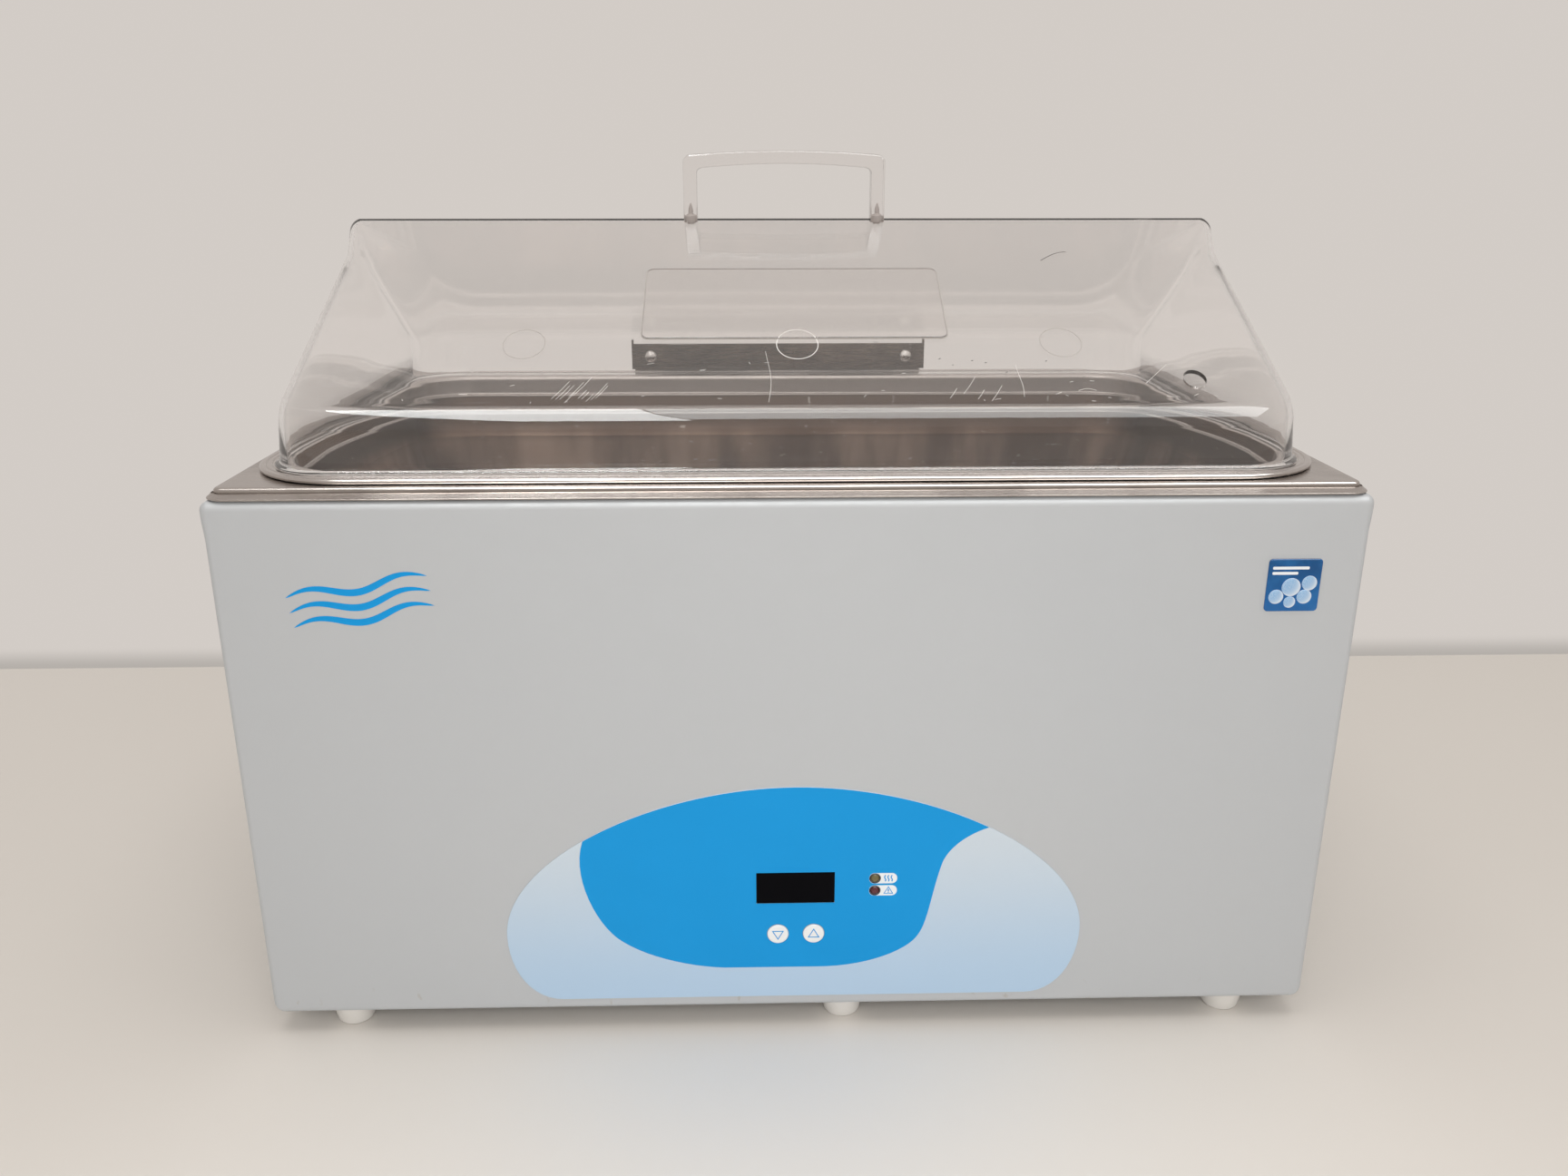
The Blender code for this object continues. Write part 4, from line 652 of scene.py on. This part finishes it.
def make_tank():
    """The pan, with a rolled rim, a collar, a shoulder and rounded walls, as one closed skin."""
    half = (TANK_HIGH - TANK_LOW) / 2
    rim = TANK_HIGH.z
    floor = TANK_LOW.z + 0.001
    wall = 0.001
    opening, shoulder, taper, floor_radius = 0.0155, 0.0027, 0.004, 0.024
    collar = rim - 0.0110
    base = opening + shoulder + taper

    def corner(inset):
        share = min(inset / opening, 1)
        return 0.052 - 0.015 * share - max(inset - opening, 0) * 0.8

    inner = [(0.0012, rim - 0.0026)]
    lip = 0.0013
    for turn in quarter(-60, 90, 8):
        inner.append((lip * (1 - math.cos(turn)), rim - lip * (1 - math.sin(turn))))
    for groove in (0.0034, 0.0062):
        inner += [(groove - 0.0006, rim), (groove, rim - 0.0004), (groove + 0.0006, rim)]
    drop = 0.0026
    for turn in quarter(90, 0, 7):
        inner.append((opening - drop * (1 - math.cos(turn)), rim - drop * (1 - math.sin(turn))))
    inner.append((opening, collar))
    bead = 0.0013
    for turn in quarter(0, 90, 5):
        inner.append((opening + bead * (1 - math.cos(turn)), collar - bead * math.sin(turn)))
    for turn in quarter(90, 0, 5):
        inset = opening + shoulder - bead * (1 - math.sin(turn))
        inner.append((inset, collar - 2 * bead + bead * math.cos(turn)))
    for turn in quarter(0, 90, 8):
        inner.append((base + floor_radius * (1 - math.cos(turn)), floor + floor_radius * (1 - math.sin(turn))))
    inner.append((base + floor_radius + 0.05, floor - 0.0002))
    outer = [(0.0022, rim - 0.0026), (0.0022, rim - wall), (opening - 0.0044, rim - wall)]
    outer += [
        (opening - 0.0020, rim - 0.0021),
        (opening - wall, rim - 0.0042),
        (opening - wall, collar - 0.0004),
        (opening + shoulder - wall - 0.0004, collar - 0.0024),
        (opening + shoulder - wall, collar - 0.0034),
    ]
    for turn in quarter(0, 90, 6):
        radius = floor_radius + wall
        inset = base - wall + radius * (1 - math.cos(turn))
        outer.append((inset, floor + floor_radius - radius * math.sin(turn)))
    rings = []
    for inset, z in outer[::-1] + inner:
        rings.append(level(half.x - inset, half.y - inset, max(corner(inset), 0.004), z, TANK_MIDDLE, 12))
    tank = piece("tank_pan", *skin(rings, False), "tank", "root", "steel", ("tank",))
    pipe_low, pipe_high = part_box("drain_pipe")
    drain = ((pipe_low.x + pipe_high.x) / 2, pipe_low.y + 0.0065, floor - 0.005)
    cut(tank, round_tool(drain, "Z", 0.0045, 0.010))


# Lid


def lid_sections(inset, knee_steps, end_steps):
    """(half length, half depth, corner radius, z) from the skirt's top to the ridge, that far inside."""
    half_depth = LID_HALF_DEPTH - inset
    rise = math.tan(LID_SLOPE)
    knee = LID_KNEE + inset * rise - inset / math.cos(LID_SLOPE)
    ridge = knee + half_depth * rise
    knee_radius = max(LID_KNEE_RADIUS - inset, 0.002)
    turn = math.pi / 2 - LID_SLOPE
    reach = knee_radius * math.tan(turn / 2)
    sections = []
    for k in range(knee_steps + 1):
        angle = turn * k / knee_steps
        b = half_depth - knee_radius * (1 - math.cos(angle))
        sections.append((b, knee - reach + knee_radius * math.sin(angle)))
    end_radius = LID_END_RADIUS - inset
    drops = [0.078 - 0.006 * k for k in range(12)]
    drops += [end_radius * (1 - math.sin(math.pi / 2 * k / end_steps)) for k in range(end_steps)]
    drops.append(0.0002)
    sections += [((drop + 0.0002) / rise, ridge - drop) for drop in drops]
    levels = []
    for b, z in sections:
        height = (z - LID_LOW.z) / (ridge - LID_LOW.z)
        a = LID_HALF_LENGTH - inset - LID_NARROWING * height
        into_corner = max(z - (ridge - end_radius), 0)
        a -= end_radius - math.sqrt(max(end_radius**2 - into_corner**2, 0))
        levels.append((a, b, min(LID_CORNER - inset, 0.85 * b), z))
    return levels


def on_slope(x, up, off=0.0):
    """A point on the front slope: up the slope from the knee's corner, and that far off its surface."""
    foot = Vector((x, LID_MIDDLE.y - LID_HALF_DEPTH, LID_KNEE))
    return foot + UP_SLOPE * up + OFF_SLOPE * off


def make_lid():
    foot = LID_LOW.z
    a, b, corner = LID_HALF_LENGTH, LID_HALF_DEPTH, LID_CORNER

    def ring(half_x, half_y, radius, z):
        return level(half_x, half_y, radius, z, LID_MIDDLE, 20)

    rings = [ring(*numbers) for numbers in reversed(lid_sections(LID_WALL, 8, 5))]
    rings.append(ring(a - LID_WALL, b - LID_WALL, corner - LID_WALL, foot + 0.0006))
    rings.append(ring(a - LID_WALL + 0.0006, b - LID_WALL + 0.0006, corner - LID_WALL + 0.0006, foot))
    lip = LID_LIP
    for turn in quarter(-90, 90, 6):
        reach = lip - 0.0007 * (1 - math.cos(turn))
        rings.append(ring(a + reach, b + reach, corner + reach, foot + 0.0007 + 0.0007 * math.sin(turn)))
    rings.append(ring(a + 0.0008, b + 0.0008, corner + 0.0008, foot + 0.0018))
    rings.append(ring(a, b, corner, foot + 0.0034))
    rings += [ring(*numbers) for numbers in lid_sections(0.0, 10, 6)]
    lid = piece("lid_body", *skin(rings, False), "lid_plastic", "lid", "lid_plastic", ("lid_shell",))

    hole = round_tool((0, 0, -0.02), "Z", 0.0053, 0.04, 40)
    tilt = Matrix.Rotation(LID_SLOPE, 4, "X") @ Matrix.Diagonal((1.06, 1.30, 1.0, 1.0))
    hole.matrix_world = Matrix.Translation(on_slope(0.198, 0.0255)) @ tilt
    tools = [hole]
    for number in (1, 2):
        tools.append(node_tool(f"leaf_screw_{number}", "Y", -0.0021))
    cut(lid, *tools)


def ring_on_slope(name, x, up, radius, width, look):
    """A fine raised circle, as left by an ejector pin of the mould."""
    rings = []
    for reach, height in ((0, 0.00003), (0, 0.00020), (width, 0.00020), (width, 0.00003)):
        turns = [2 * math.pi * k / 64 for k in range(64)]
        wide, tall = radius + reach, 1.15 * radius + reach
        rings.append([on_slope(x + wide * math.cos(t), up + tall * math.sin(t), height) for t in turns])
    return piece(name, *skin(rings, True), look, "lid", "lid_plastic")


def strokes_on_slope(name, lines, width, look):
    """Many fine raised strokes on the front slope, as one piece. Each line holds (x, up) points."""
    points, faces = [], []
    for line in lines:
        outline = stroke(line, width)
        rings = [[on_slope(u, v, height) for u, v in outline] for height in (0.00002, 0.00012)]
        more_points, more_faces = skin(rings, False)
        faces += [[index + len(points) for index in face] for face in more_faces]
        points += more_points
    return piece(name, points, faces, look, "lid", "lid_plastic")


def make_lid_details():
    """The raised pad, the three mould rings and the marks of wear; the pad's edge and the two outer rings are
    drawn as grey lines of painted shade.
    """
    outline = rounded_outline(0.0774, 0.0312, 0.004, 6)
    low, high = 0.00005, 0.0009

    def place(u, v):
        return on_slope(PAD_X + u, PAD_UP + v, low)

    pad = prism("lid_pad", outline, place, OFF_SLOPE * (high - low), "pad_plastic", "lid", "lid_plastic")
    round_edges(pad, 0.0004, 3)
    # Painted shade: a grey line round the pad's edge, standing for the dark line its clear edge shows
    wider = rounded_outline(0.0778, 0.0316, 0.0044, 6)
    rings = []
    for line, height in ((outline, 0.00003), (outline, 0.0006), (wider, 0.0006), (wider, 0.00003)):
        rings.append([on_slope(PAD_X + u, PAD_UP + v, height) for u, v in line])
    piece("lid_pad_edge_shade", *skin(rings, True), "mould_line", "lid", "lid_plastic")
    # Painted shade: the outer two mould rings are grey lines on the clear lid
    ring_on_slope("mould_ring_left", -0.1325, 0.0555, 0.0102, 0.0004, "mould_line")
    ring_on_slope("mould_ring_middle", 0.004, 0.0545, 0.0102, 0.0004, "scratch")
    ring_on_slope("mould_ring_right", 0.137, 0.0555, 0.0102, 0.0004, "mould_line")
    chance = random.Random(11)
    rubs = []
    for centre_x, reach, count in ((-0.104, 0.0105, 11), (0.086, 0.010, 4)):
        for number in range(count):
            x = centre_x + reach * (2 * number / (count - 1) - 1) + chance.uniform(-0.0003, 0.0003)
            up = 0.0085 + chance.uniform(0.0, 0.006)
            length = chance.uniform(0.005, 0.014)
            rubs.append([(x, up), (x + 0.30 * length, up + 0.5 * length), (x + 0.55 * length, up + length)])
    for number in range(26):
        x, up = chance.uniform(-0.21, 0.21), 0.0085 + 0.032 * chance.random() ** 1.5
        length, turn = chance.uniform(0.0012, 0.0045), chance.uniform(0, math.pi)
        rubs.append([(x, up), (x + length * math.cos(turn), up + 0.6 * length * math.sin(turn))])
    rubs.append([(-0.011 + 0.0014 * math.sin(k / 2), 0.009 + 0.0050 * k) for k in range(9)])
    rubs.append([(0.112 + 0.0006 * math.sin(k), 0.012 + 0.005 * k) for k in range(6)])
    rubs.append([(0.139 + 0.0011 * k, 0.0165 + 0.0016 * math.sin(k / 2.6)) for k in range(9)])
    rubs.append([(0.173 + 0.0045 * k, 0.022 + 0.0050 * k) for k in range(4)])
    strokes_on_slope("lid_rubs", rubs, 0.00018, "scratch")
    hairs = [[(0.139 + 0.0017 * k, 0.1300 + 0.0085 * math.sin(k / 5.5)) for k in range(10)]]
    for number in range(12):
        x, up = chance.uniform(-0.15, 0.20), chance.uniform(0.026, 0.042)
        hairs.append([(x, up), (x + chance.uniform(0.0004, 0.0011), up + chance.uniform(0.0002, 0.0010))])
    strokes_on_slope("lid_specks", hairs, 0.00045, "speck")


def make_handle():
    """A clear arched grip on two flat posts."""
    middle_y = (GRIP_LOW.y + GRIP_HIGH.y) / 2
    outer_x, foot, top = GRIP_HIGH.x, GRIP_LOW.z, GRIP_HIGH.z
    post, grip, rise = 0.0075, 0.0070, 0.0025
    inner_x = outer_x - post
    steps = 24

    def arch(half, height, corner):
        xs = [half * (1 - 2 * k / steps) for k in range(steps + 1)]
        points = [(x, height - rise * (x / half) ** 2) for x in xs]
        points[0] = (half - corner, points[0][1])
        points[-1] = (corner - half, points[-1][1])
        return [(half, points[0][1] - corner), *points, (-half, points[-1][1] - corner)]

    over = arch(outer_x, top, 0.0025)
    under = arch(inner_x, top - grip, 0.0015)
    outline = [(outer_x, foot), *over, (-outer_x, foot), (-inner_x, foot), *reversed(under), (inner_x, foot)]
    half_y = (GRIP_HIGH.y - GRIP_LOW.y) / 2

    def place(u, v):
        return u, middle_y - half_y, v

    along, stands_for = Vector((0, 2 * half_y, 0)), ("lid_handle",)
    handle = prism("lid_grip", outline, place, along, "grip_plastic", "lid", "lid_plastic", stands_for)
    round_edges(handle, 0.0018, 5)


def make_handle_pins():
    """The two pins that hold the handle, each a round boss astride the ridge under a pointed head."""
    for number in (1, 2):
        node = f"handle_screw_{number}"
        middle = middle_of(node)
        centre = (middle.x, middle.y, 0)
        ridge = LID_RIDGE
        profile = (
            (0.0012, ridge - 0.0040),
            (0.0018, ridge - 0.0042),
            (0.0024, ridge - 0.0030),
            (0.0030, ridge - 0.0022),
            (0.0032, ridge - 0.0010),
            (0.0031, ridge + 0.0012),
            (0.0024, ridge + 0.0020),
            (0.0014, ridge + 0.0026),
            (0.0013, ridge + 0.0050),
            (0.0003, ridge + 0.0082),
        )
        turned(f"handle_pin_{number}", centre, "Z", profile, "pin_plastic", "lid", "zinc", (node,), segments=24)


# Control panel


def film_outline(inset=0.0):
    """A half-moon: a wide arch, tight sides and a flat bottom."""
    half, widest, top, bottom, flat = 0.1492 - inset, 0.0574, 0.1415 - inset, 0.0187 + inset, 0.122
    right = bezier((flat, bottom), (flat + 0.016, bottom), (half, widest - 0.022), (half, widest), 12)
    right += bezier((half, widest), (half, widest + 0.043), (0.074, top), (0.0, top), 36)
    return right + [(0.0, top)] + [(-x, z) for x, z in reversed(right)]


def blue_outline():
    """The blue field: the film's top arc between two points, closed by one sweep below."""
    arc = sorted((x + FILM_X, z) for x, z in film_outline(0.0002) if z > 0.09)

    def on_arc(x):
        after = next(k for k, point in enumerate(arc) if point[0] > x)
        (x1, z1), (x2, z2) = arc[after - 1], arc[after]
        return x, z1 + (z2 - z1) * (x - x1) / (x2 - x1)

    left, right = on_arc(-0.1065), on_arc(0.0998)
    sweep = bezier(left, (-0.1135, 0.0920), (-0.1010, 0.0620), (-0.0883, 0.0533), 14)
    sweep += bezier((-0.0883, 0.0533), (-0.0743, 0.0428), (-0.0500, 0.0365), (-0.0308, 0.0365), 12)
    sweep += bezier((0.0127, 0.0365), (0.0380, 0.0360), (0.0615, 0.0455), (0.0662, 0.0563), 14)
    sweep += bezier((0.0662, 0.0563), (0.0705, 0.0635), (0.0725, 0.0844), (0.0770, 0.0984), 12)
    sweep += bezier((0.0770, 0.0984), (0.0810, 0.1080), (0.0910, 0.1145), right, 10)
    return sweep + [right] + [point for point in reversed(arc) if left[0] < point[0] < right[0]]


def front_prism(name, outline, centre, low, high, look, body="root", slot="fascia", **more):
    """An outline in the front plane, from low to high in front of the case."""

    def place(u, v):
        return centre[0] + u, FRONT - low, centre[1] + v

    return prism(name, outline, place, Vector((0, low - high, 0)), look, body, slot, **more)


def panel_tools():
    """Cutters for the window, the keys and the lamps."""
    low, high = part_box("display_window")
    tools = [box_tool((low.x - GAP, FRONT - 0.003, low.z - GAP), (high.x + GAP, FRONT + 0.003, high.z + GAP))]
    clearances = {"button_down": GAP, "button_up": GAP, "heater_lamp": -0.0001, "alarm_lamp": -0.0001}
    for node, clearance in clearances.items():
        tools.append(node_tool(node, "Y", clearance))
    return tools


def make_panel():
    """The film, the blue field printed on it, the lamps' labels and the keys."""
    outline = film_outline()
    stands_for = ("fascia_overlay",)
    film = front_prism("panel_film", outline, (FILM_X, 0), 0.00002, FILM_FACE, "fascia", stands_for=stands_for)
    cut(film, *panel_tools())
    blue = front_prism("panel_blue", blue_outline(), (0, 0), FILM_FACE, PRINT_FACE, "fascia_blue")
    cut(blue, *panel_tools())
    make_lamp_labels()
    make_keys()


def stroke(points, width):
    """A closed outline of that width round an open line of points."""
    left, right = [], []
    for k, (x, z) in enumerate(points):
        before, after = points[max(k - 1, 0)], points[min(k + 1, len(points) - 1)]
        dx, dz = after[0] - before[0], after[1] - before[1]
        length = math.hypot(dx, dz)
        left.append((x - dz / length * width / 2, z + dx / length * width / 2))
        right.append((x + dz / length * width / 2, z - dx / length * width / 2))
    return left + right[::-1]


def triangle(name, centre, size, width, up, low, high, look, body, slot):
    """A flat triangular frame in the front plane, upright or hanging."""
    turns = [math.radians(90 + 120 * k) for k in range(3)]
    sign = 1 if up else -1
    outer = [(size * math.cos(t), sign * size * math.sin(t)) for t in turns]
    inner = [(u * (1 - 2 * width / size), v * (1 - 2 * width / size)) for u, v in outer]
    rings = []
    for outline, depth in ((outer, low), (outer, high), (inner, high), (inner, low)):
        rings.append([Vector((centre[0] + u, FRONT - depth, centre[1] + v)) for u, v in outline])
    return piece(name, *skin(rings, True), look, body, slot)


def make_lamp_labels():
    """A white lozenge behind each lamp, with three heat waves on one and a warning triangle on the other."""
    face = PRINT_FACE
    sign_low, sign_high = face + 0.00005, face + 0.00009
    for name, node in (("heater", "heater_lamp"), ("alarm", "alarm_lamp")):
        middle = middle_of(node)
        centre = (middle.x, middle.z)
        label = front_prism(
            f"{name}_label", rounded_outline(0.0072, 0.0030, 0.0028, 6), (centre[0] + 0.0042, centre[1]),
            face, sign_low, "white_print",
        )
        cut(label, node_tool(node, "Y", -0.0001))
        turns = quarter(0, 90, 4)
        profile = [(0.0024, -face - 0.00002)]
        profile += [(0.0030 - 0.0003 * math.sin(t), -face - 0.0003 * math.sin(t)) for t in turns]
        profile.append((0.0024, -face - 0.0003))
        place = (centre[0], FRONT, centre[1])
        turned(f"{name}_bezel", place, "Y", profile, "black_plastic", "root", "lamp", hollow=True)
    middle = middle_of("heater_lamp")
    x, z = middle.x + 0.0052, middle.z
    for number in range(3):
        points = [
            (x + 0.0017 * number + 0.00032 * math.sin(2.2 * math.pi * k / 12), z - 0.0018 + 0.0036 * k / 12)
            for k in range(13)
        ]
        wave = stroke(points, 0.0006)
        front_prism(f"heat_wave_{number + 1}", wave, (0, 0), sign_low, sign_high, "fascia_blue")
    middle = middle_of("alarm_lamp")
    x, z = middle.x + 0.0070, middle.z - 0.0005
    blue_print = ("fascia_blue", "root", "fascia")
    triangle("alarm_triangle", (x, z), 0.0030, 0.0004, True, sign_low, sign_high, *blue_print)
    left, right, bottom, top = x - 0.0003, x + 0.0003, z - 0.0002, z + 0.0013
    mark = ((left, bottom), (right, bottom), (right, top), (left, top))
    front_prism("alarm_stroke", mark, (0, 0), sign_low, sign_high, "fascia_blue")
    dot = rounded_outline(0.0003, 0.00022, 0.00015, 3)
    front_prism("alarm_dot", dot, (x, z - 0.0007), sign_low, sign_high, "fascia_blue")


def make_keys():
    """Two white domed keys, each with a blue triangle printed on it."""
    for node, up in (("button_down", False), ("button_up", True)):
        low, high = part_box(node)
        centre = ((low.x + high.x) / 2, (low.z + high.z) / 2)
        radius = (high.x - low.x) / 2
        face = low.y
        profile = [(0.0001, 0.00002), (radius * 0.6, 0.00005)]
        for turn in quarter(0, 90, 5):
            profile.append((radius - 0.0007 * (1 - math.sin(turn)), 0.0005 - 0.0004 * math.cos(turn)))
        profile += [(radius, 0.0007), (0.0017, 0.0007), (0.0017, high.y - face)]
        turned(f"key_{node[7:]}", (centre[0], face, centre[1]), "Y", profile, "button", node, "button", (node,))
        print_low, print_high = FRONT - face - 0.00014, FRONT - face + 0.00004
        middle = (centre[0], centre[1] - 0.0003 if up else centre[1] + 0.0003)
        blue_print = ("fascia_blue", node, "button")
        triangle(f"key_mark_{node[7:]}", middle, 0.0036, 0.00045, up, print_low, print_high, *blue_print)


# Marks on the case


def make_badge():
    """A domed square label with a cluster of pale discs on it."""
    low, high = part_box("corner_badge")
    middle = (low + high) / 2
    middle.x -= 0.0006
    half_x, half_z = (high.x - low.x) / 2 * 0.94, (high.z - low.z) / 2
    rings = []
    for inset, height in ((0, 0.00002), (0, 0.0005), (0.0003, 0.0008), (0.0011, 0.00098), (0.0040, 0.00105)):
        outline = rounded_outline(half_x - inset, half_z - inset, 0.0018, 6)
        rings.append([Vector((middle.x + u, FRONT - height, middle.z + v)) for u, v in outline])
    piece("badge_dome", *skin(rings, False), "badge", "root", "badge", ("corner_badge",))
    discs = (
        (-0.0012, -0.0008, 0.0046),
        (0.0074, 0.0012, 0.0037),
        (-0.0080, -0.0056, 0.0036),
        (0.0056, -0.0056, 0.0036),
        (-0.0012, -0.0083, 0.0029),
    )
    for number, (u, v, radius) in enumerate(discs, 1):
        centre = (middle.x + u, FRONT - 0.00100, middle.z + v)
        profile = [(radius * math.sin(t), -radius * 0.20 * math.cos(t)) for t in quarter(4, 90, 8)]
        turned(f"badge_disc_{number}", centre, "Y", profile, "badge_pale", "root", "badge", segments=32)
    for number, (length, height) in enumerate(((0.0088, 0.0088), (0.0062, 0.0062)), 1):
        bar = rounded_outline(length, 0.0007, 0.0005, 4)
        centre = (middle.x - half_x + 0.0018 + length, middle.z + height)
        front_prism(f"badge_bar_{number}", bar, centre, 0.0009, 0.00112, "white_print", slot="badge")


def make_wave_mark():
    """A generic mark of three rising waves, in the panel's blue."""
    tilt = math.radians(9)
    for number in range(3):
        points = []
        steps = 40
        for k in range(steps + 1):
            u = 0.068 * (k / steps - 0.5)
            v = 0.0026 * math.sin(3 * math.pi * k / steps) + 0.0075 * (number - 1)
            x = u * math.cos(tilt) - v * math.sin(tilt)
            z = u * math.sin(tilt) + v * math.cos(tilt)
            points.append((x, z))
        outline = tapered(points, 0.0034)
        front_prism(f"wave_mark_{number + 1}", outline, (-0.2045, 0.2410), 0.00002, 0.00012, "fascia_blue")


def tapered(points, width):
    """A closed outline round a line of points, widest in the middle and pointed at its ends."""
    left, right = [], []
    last = len(points) - 1
    for k in range(1, last):
        x, z = points[k]
        dx, dz = points[k + 1][0] - points[k - 1][0], points[k + 1][1] - points[k - 1][1]
        half = width / 2 * math.sin(math.pi * k / last) ** 0.6 / math.hypot(dx, dz)
        left.append((x - dz * half, z + dx * half))
        right.append((x + dz * half, z - dx * half))
    return [points[0], *right, points[-1], *reversed(left)]


# Frame nodes that keep their own shape


def dress_nodes():
    """Gives each frame node that still shows its slot's look, or a look of its own, and rounds the hard edges
    of ten of the visible ones.
    """
    own = {
        "hinge_leaf": "hinge_steel",
        "hinge_bracket": "hinge_steel",
        "signal_cable": "insulation",
        "probe_cable": "black_plastic",
        "heater_lamp": "amber",
        "alarm_lamp": "red",
    }
    for entry in frame["record"]["subparts"]:
        node = NODES[entry["node"]]
        look = own.get(entry["node"], entry["material_slot"])
        node.data.materials.clear()
        node.data.materials.append(LOOKS[look])
    rounded = {
        "hinge_leaf": 0.0004, "hinge_bracket": 0.0004, "display_window": 0.0002, "mains_inlet": 0.0006,
        "fuse_drawer": 0.0003, "power_rocker": 0.0005, "drain_tap_lever": 0.0006, "drain_tap_body": 0.0002,
        "base_plate": 0.0002, "perforated_shelf": 0.0003,
    }
    for name, width in rounded.items():
        round_edges(NODES[name], width, 2)


def make_domes():
    """The two domed screw heads inside the lid."""
    for number in (1, 2):
        node = f"leaf_screw_{number}"
        low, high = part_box(node)
        centre = ((low.x + high.x) / 2, high.y, (low.z + high.z) / 2)
        length, shank = high.y - low.y, 0.0068
        head = length - shank
        profile = [(0.0042 * math.cos(t), head * (1 - math.sin(t)) - length) for t in quarter(88, 0, 8)]
        profile += [(0.0018, head - length), (0.0018, 0.0)]
        turned(f"dome_screw_{number}", centre, "Y", profile, "dome_steel", "lid", "zinc", (node,), segments=32)


# Stage


def add_light(name, place, aim, size, energy, colour=(1.0, 0.97, 0.93)):
    """A soft rectangular light."""
    data = bpy.data.lights.new(name, "AREA")
    data.shape = "RECTANGLE"
    data.size, data.size_y = size
    data.energy = energy
    data.color = colour
    lamp = bpy.data.objects.new(name, data)
    lamp.visible_transmission = False
    lamp.location = place
    lamp.rotation_euler = (Vector(aim) - Vector(place)).to_track_quat("-Z", "Y").to_euler()
    bpy.context.scene.collection.objects.link(lamp)
    return lamp


def make_stage():
    """The floor, an even pale studio, two soft lights, two seen only in reflections, and the camera."""
    scene = bpy.context.scene
    mesh = bpy.data.meshes.new("floor")
    size = 6.0
    corners = [(-size, -size, 0), (size, -size, 0), (size, size, 0), (-size, size, 0)]
    mesh.from_pydata(corners, [], [(0, 1, 2, 3)])
    mesh.materials.append(floor_look())
    floor = bpy.data.objects.new("floor", mesh)
    scene.collection.objects.link(floor)

    world = bpy.data.worlds.new("studio")
    world.use_nodes = True
    background = world.node_tree.nodes["Background"]
    background.inputs["Color"].default_value = (*STUDIO_TONE, 1.0)
    background.inputs["Strength"].default_value = 1.0
    scene.world = world
    scene.view_settings.view_transform = "Standard"

    for name, place, aim, size, energy in (
        ("key", (0.03, -0.80, 0.44), (0, -0.19, 0.14), (0.40, 0.3), 1.66),
        ("top", (0.0, -0.15, 2.0), (0, 0, 0.3), (1.6, 1.2), 10.5),
    ):
        soft = add_light(name, place, aim, size, energy)
        soft.visible_glossy = False
    for name, place, size, energy in (
        ("ceiling_left", (-0.60, -1.95, 2.3), (0.68, 3.3), 92),
        ("ceiling_right", (1.0, -1.60, 2.3), (2.5, 2.6), 120),
    ):
        glow = add_light(name, place, (place[0], place[1], 0), size, energy, (0.97, 1.0, 1.0))
        glow.visible_diffuse = False

    camera_data = bpy.data.cameras.new("camera")
    camera_data.lens = 28.8
    camera_data.sensor_width = 36.0
    camera = bpy.data.objects.new("camera", camera_data)
    camera.location = (-0.0192, -0.7560, 0.4326)
    camera.rotation_euler = (math.radians(90 - 18.26), 0, math.radians(-1.49))
    scene.collection.objects.link(camera)
    scene.camera = camera


dress_nodes()
make_case()
make_feet()
make_steel_top()
make_tank()
make_lid()
make_lid_details()
make_handle()
make_handle_pins()
make_panel()
make_badge()
make_wave_mark()
make_domes()
make_stage()

bpy.context.view_layer.update()
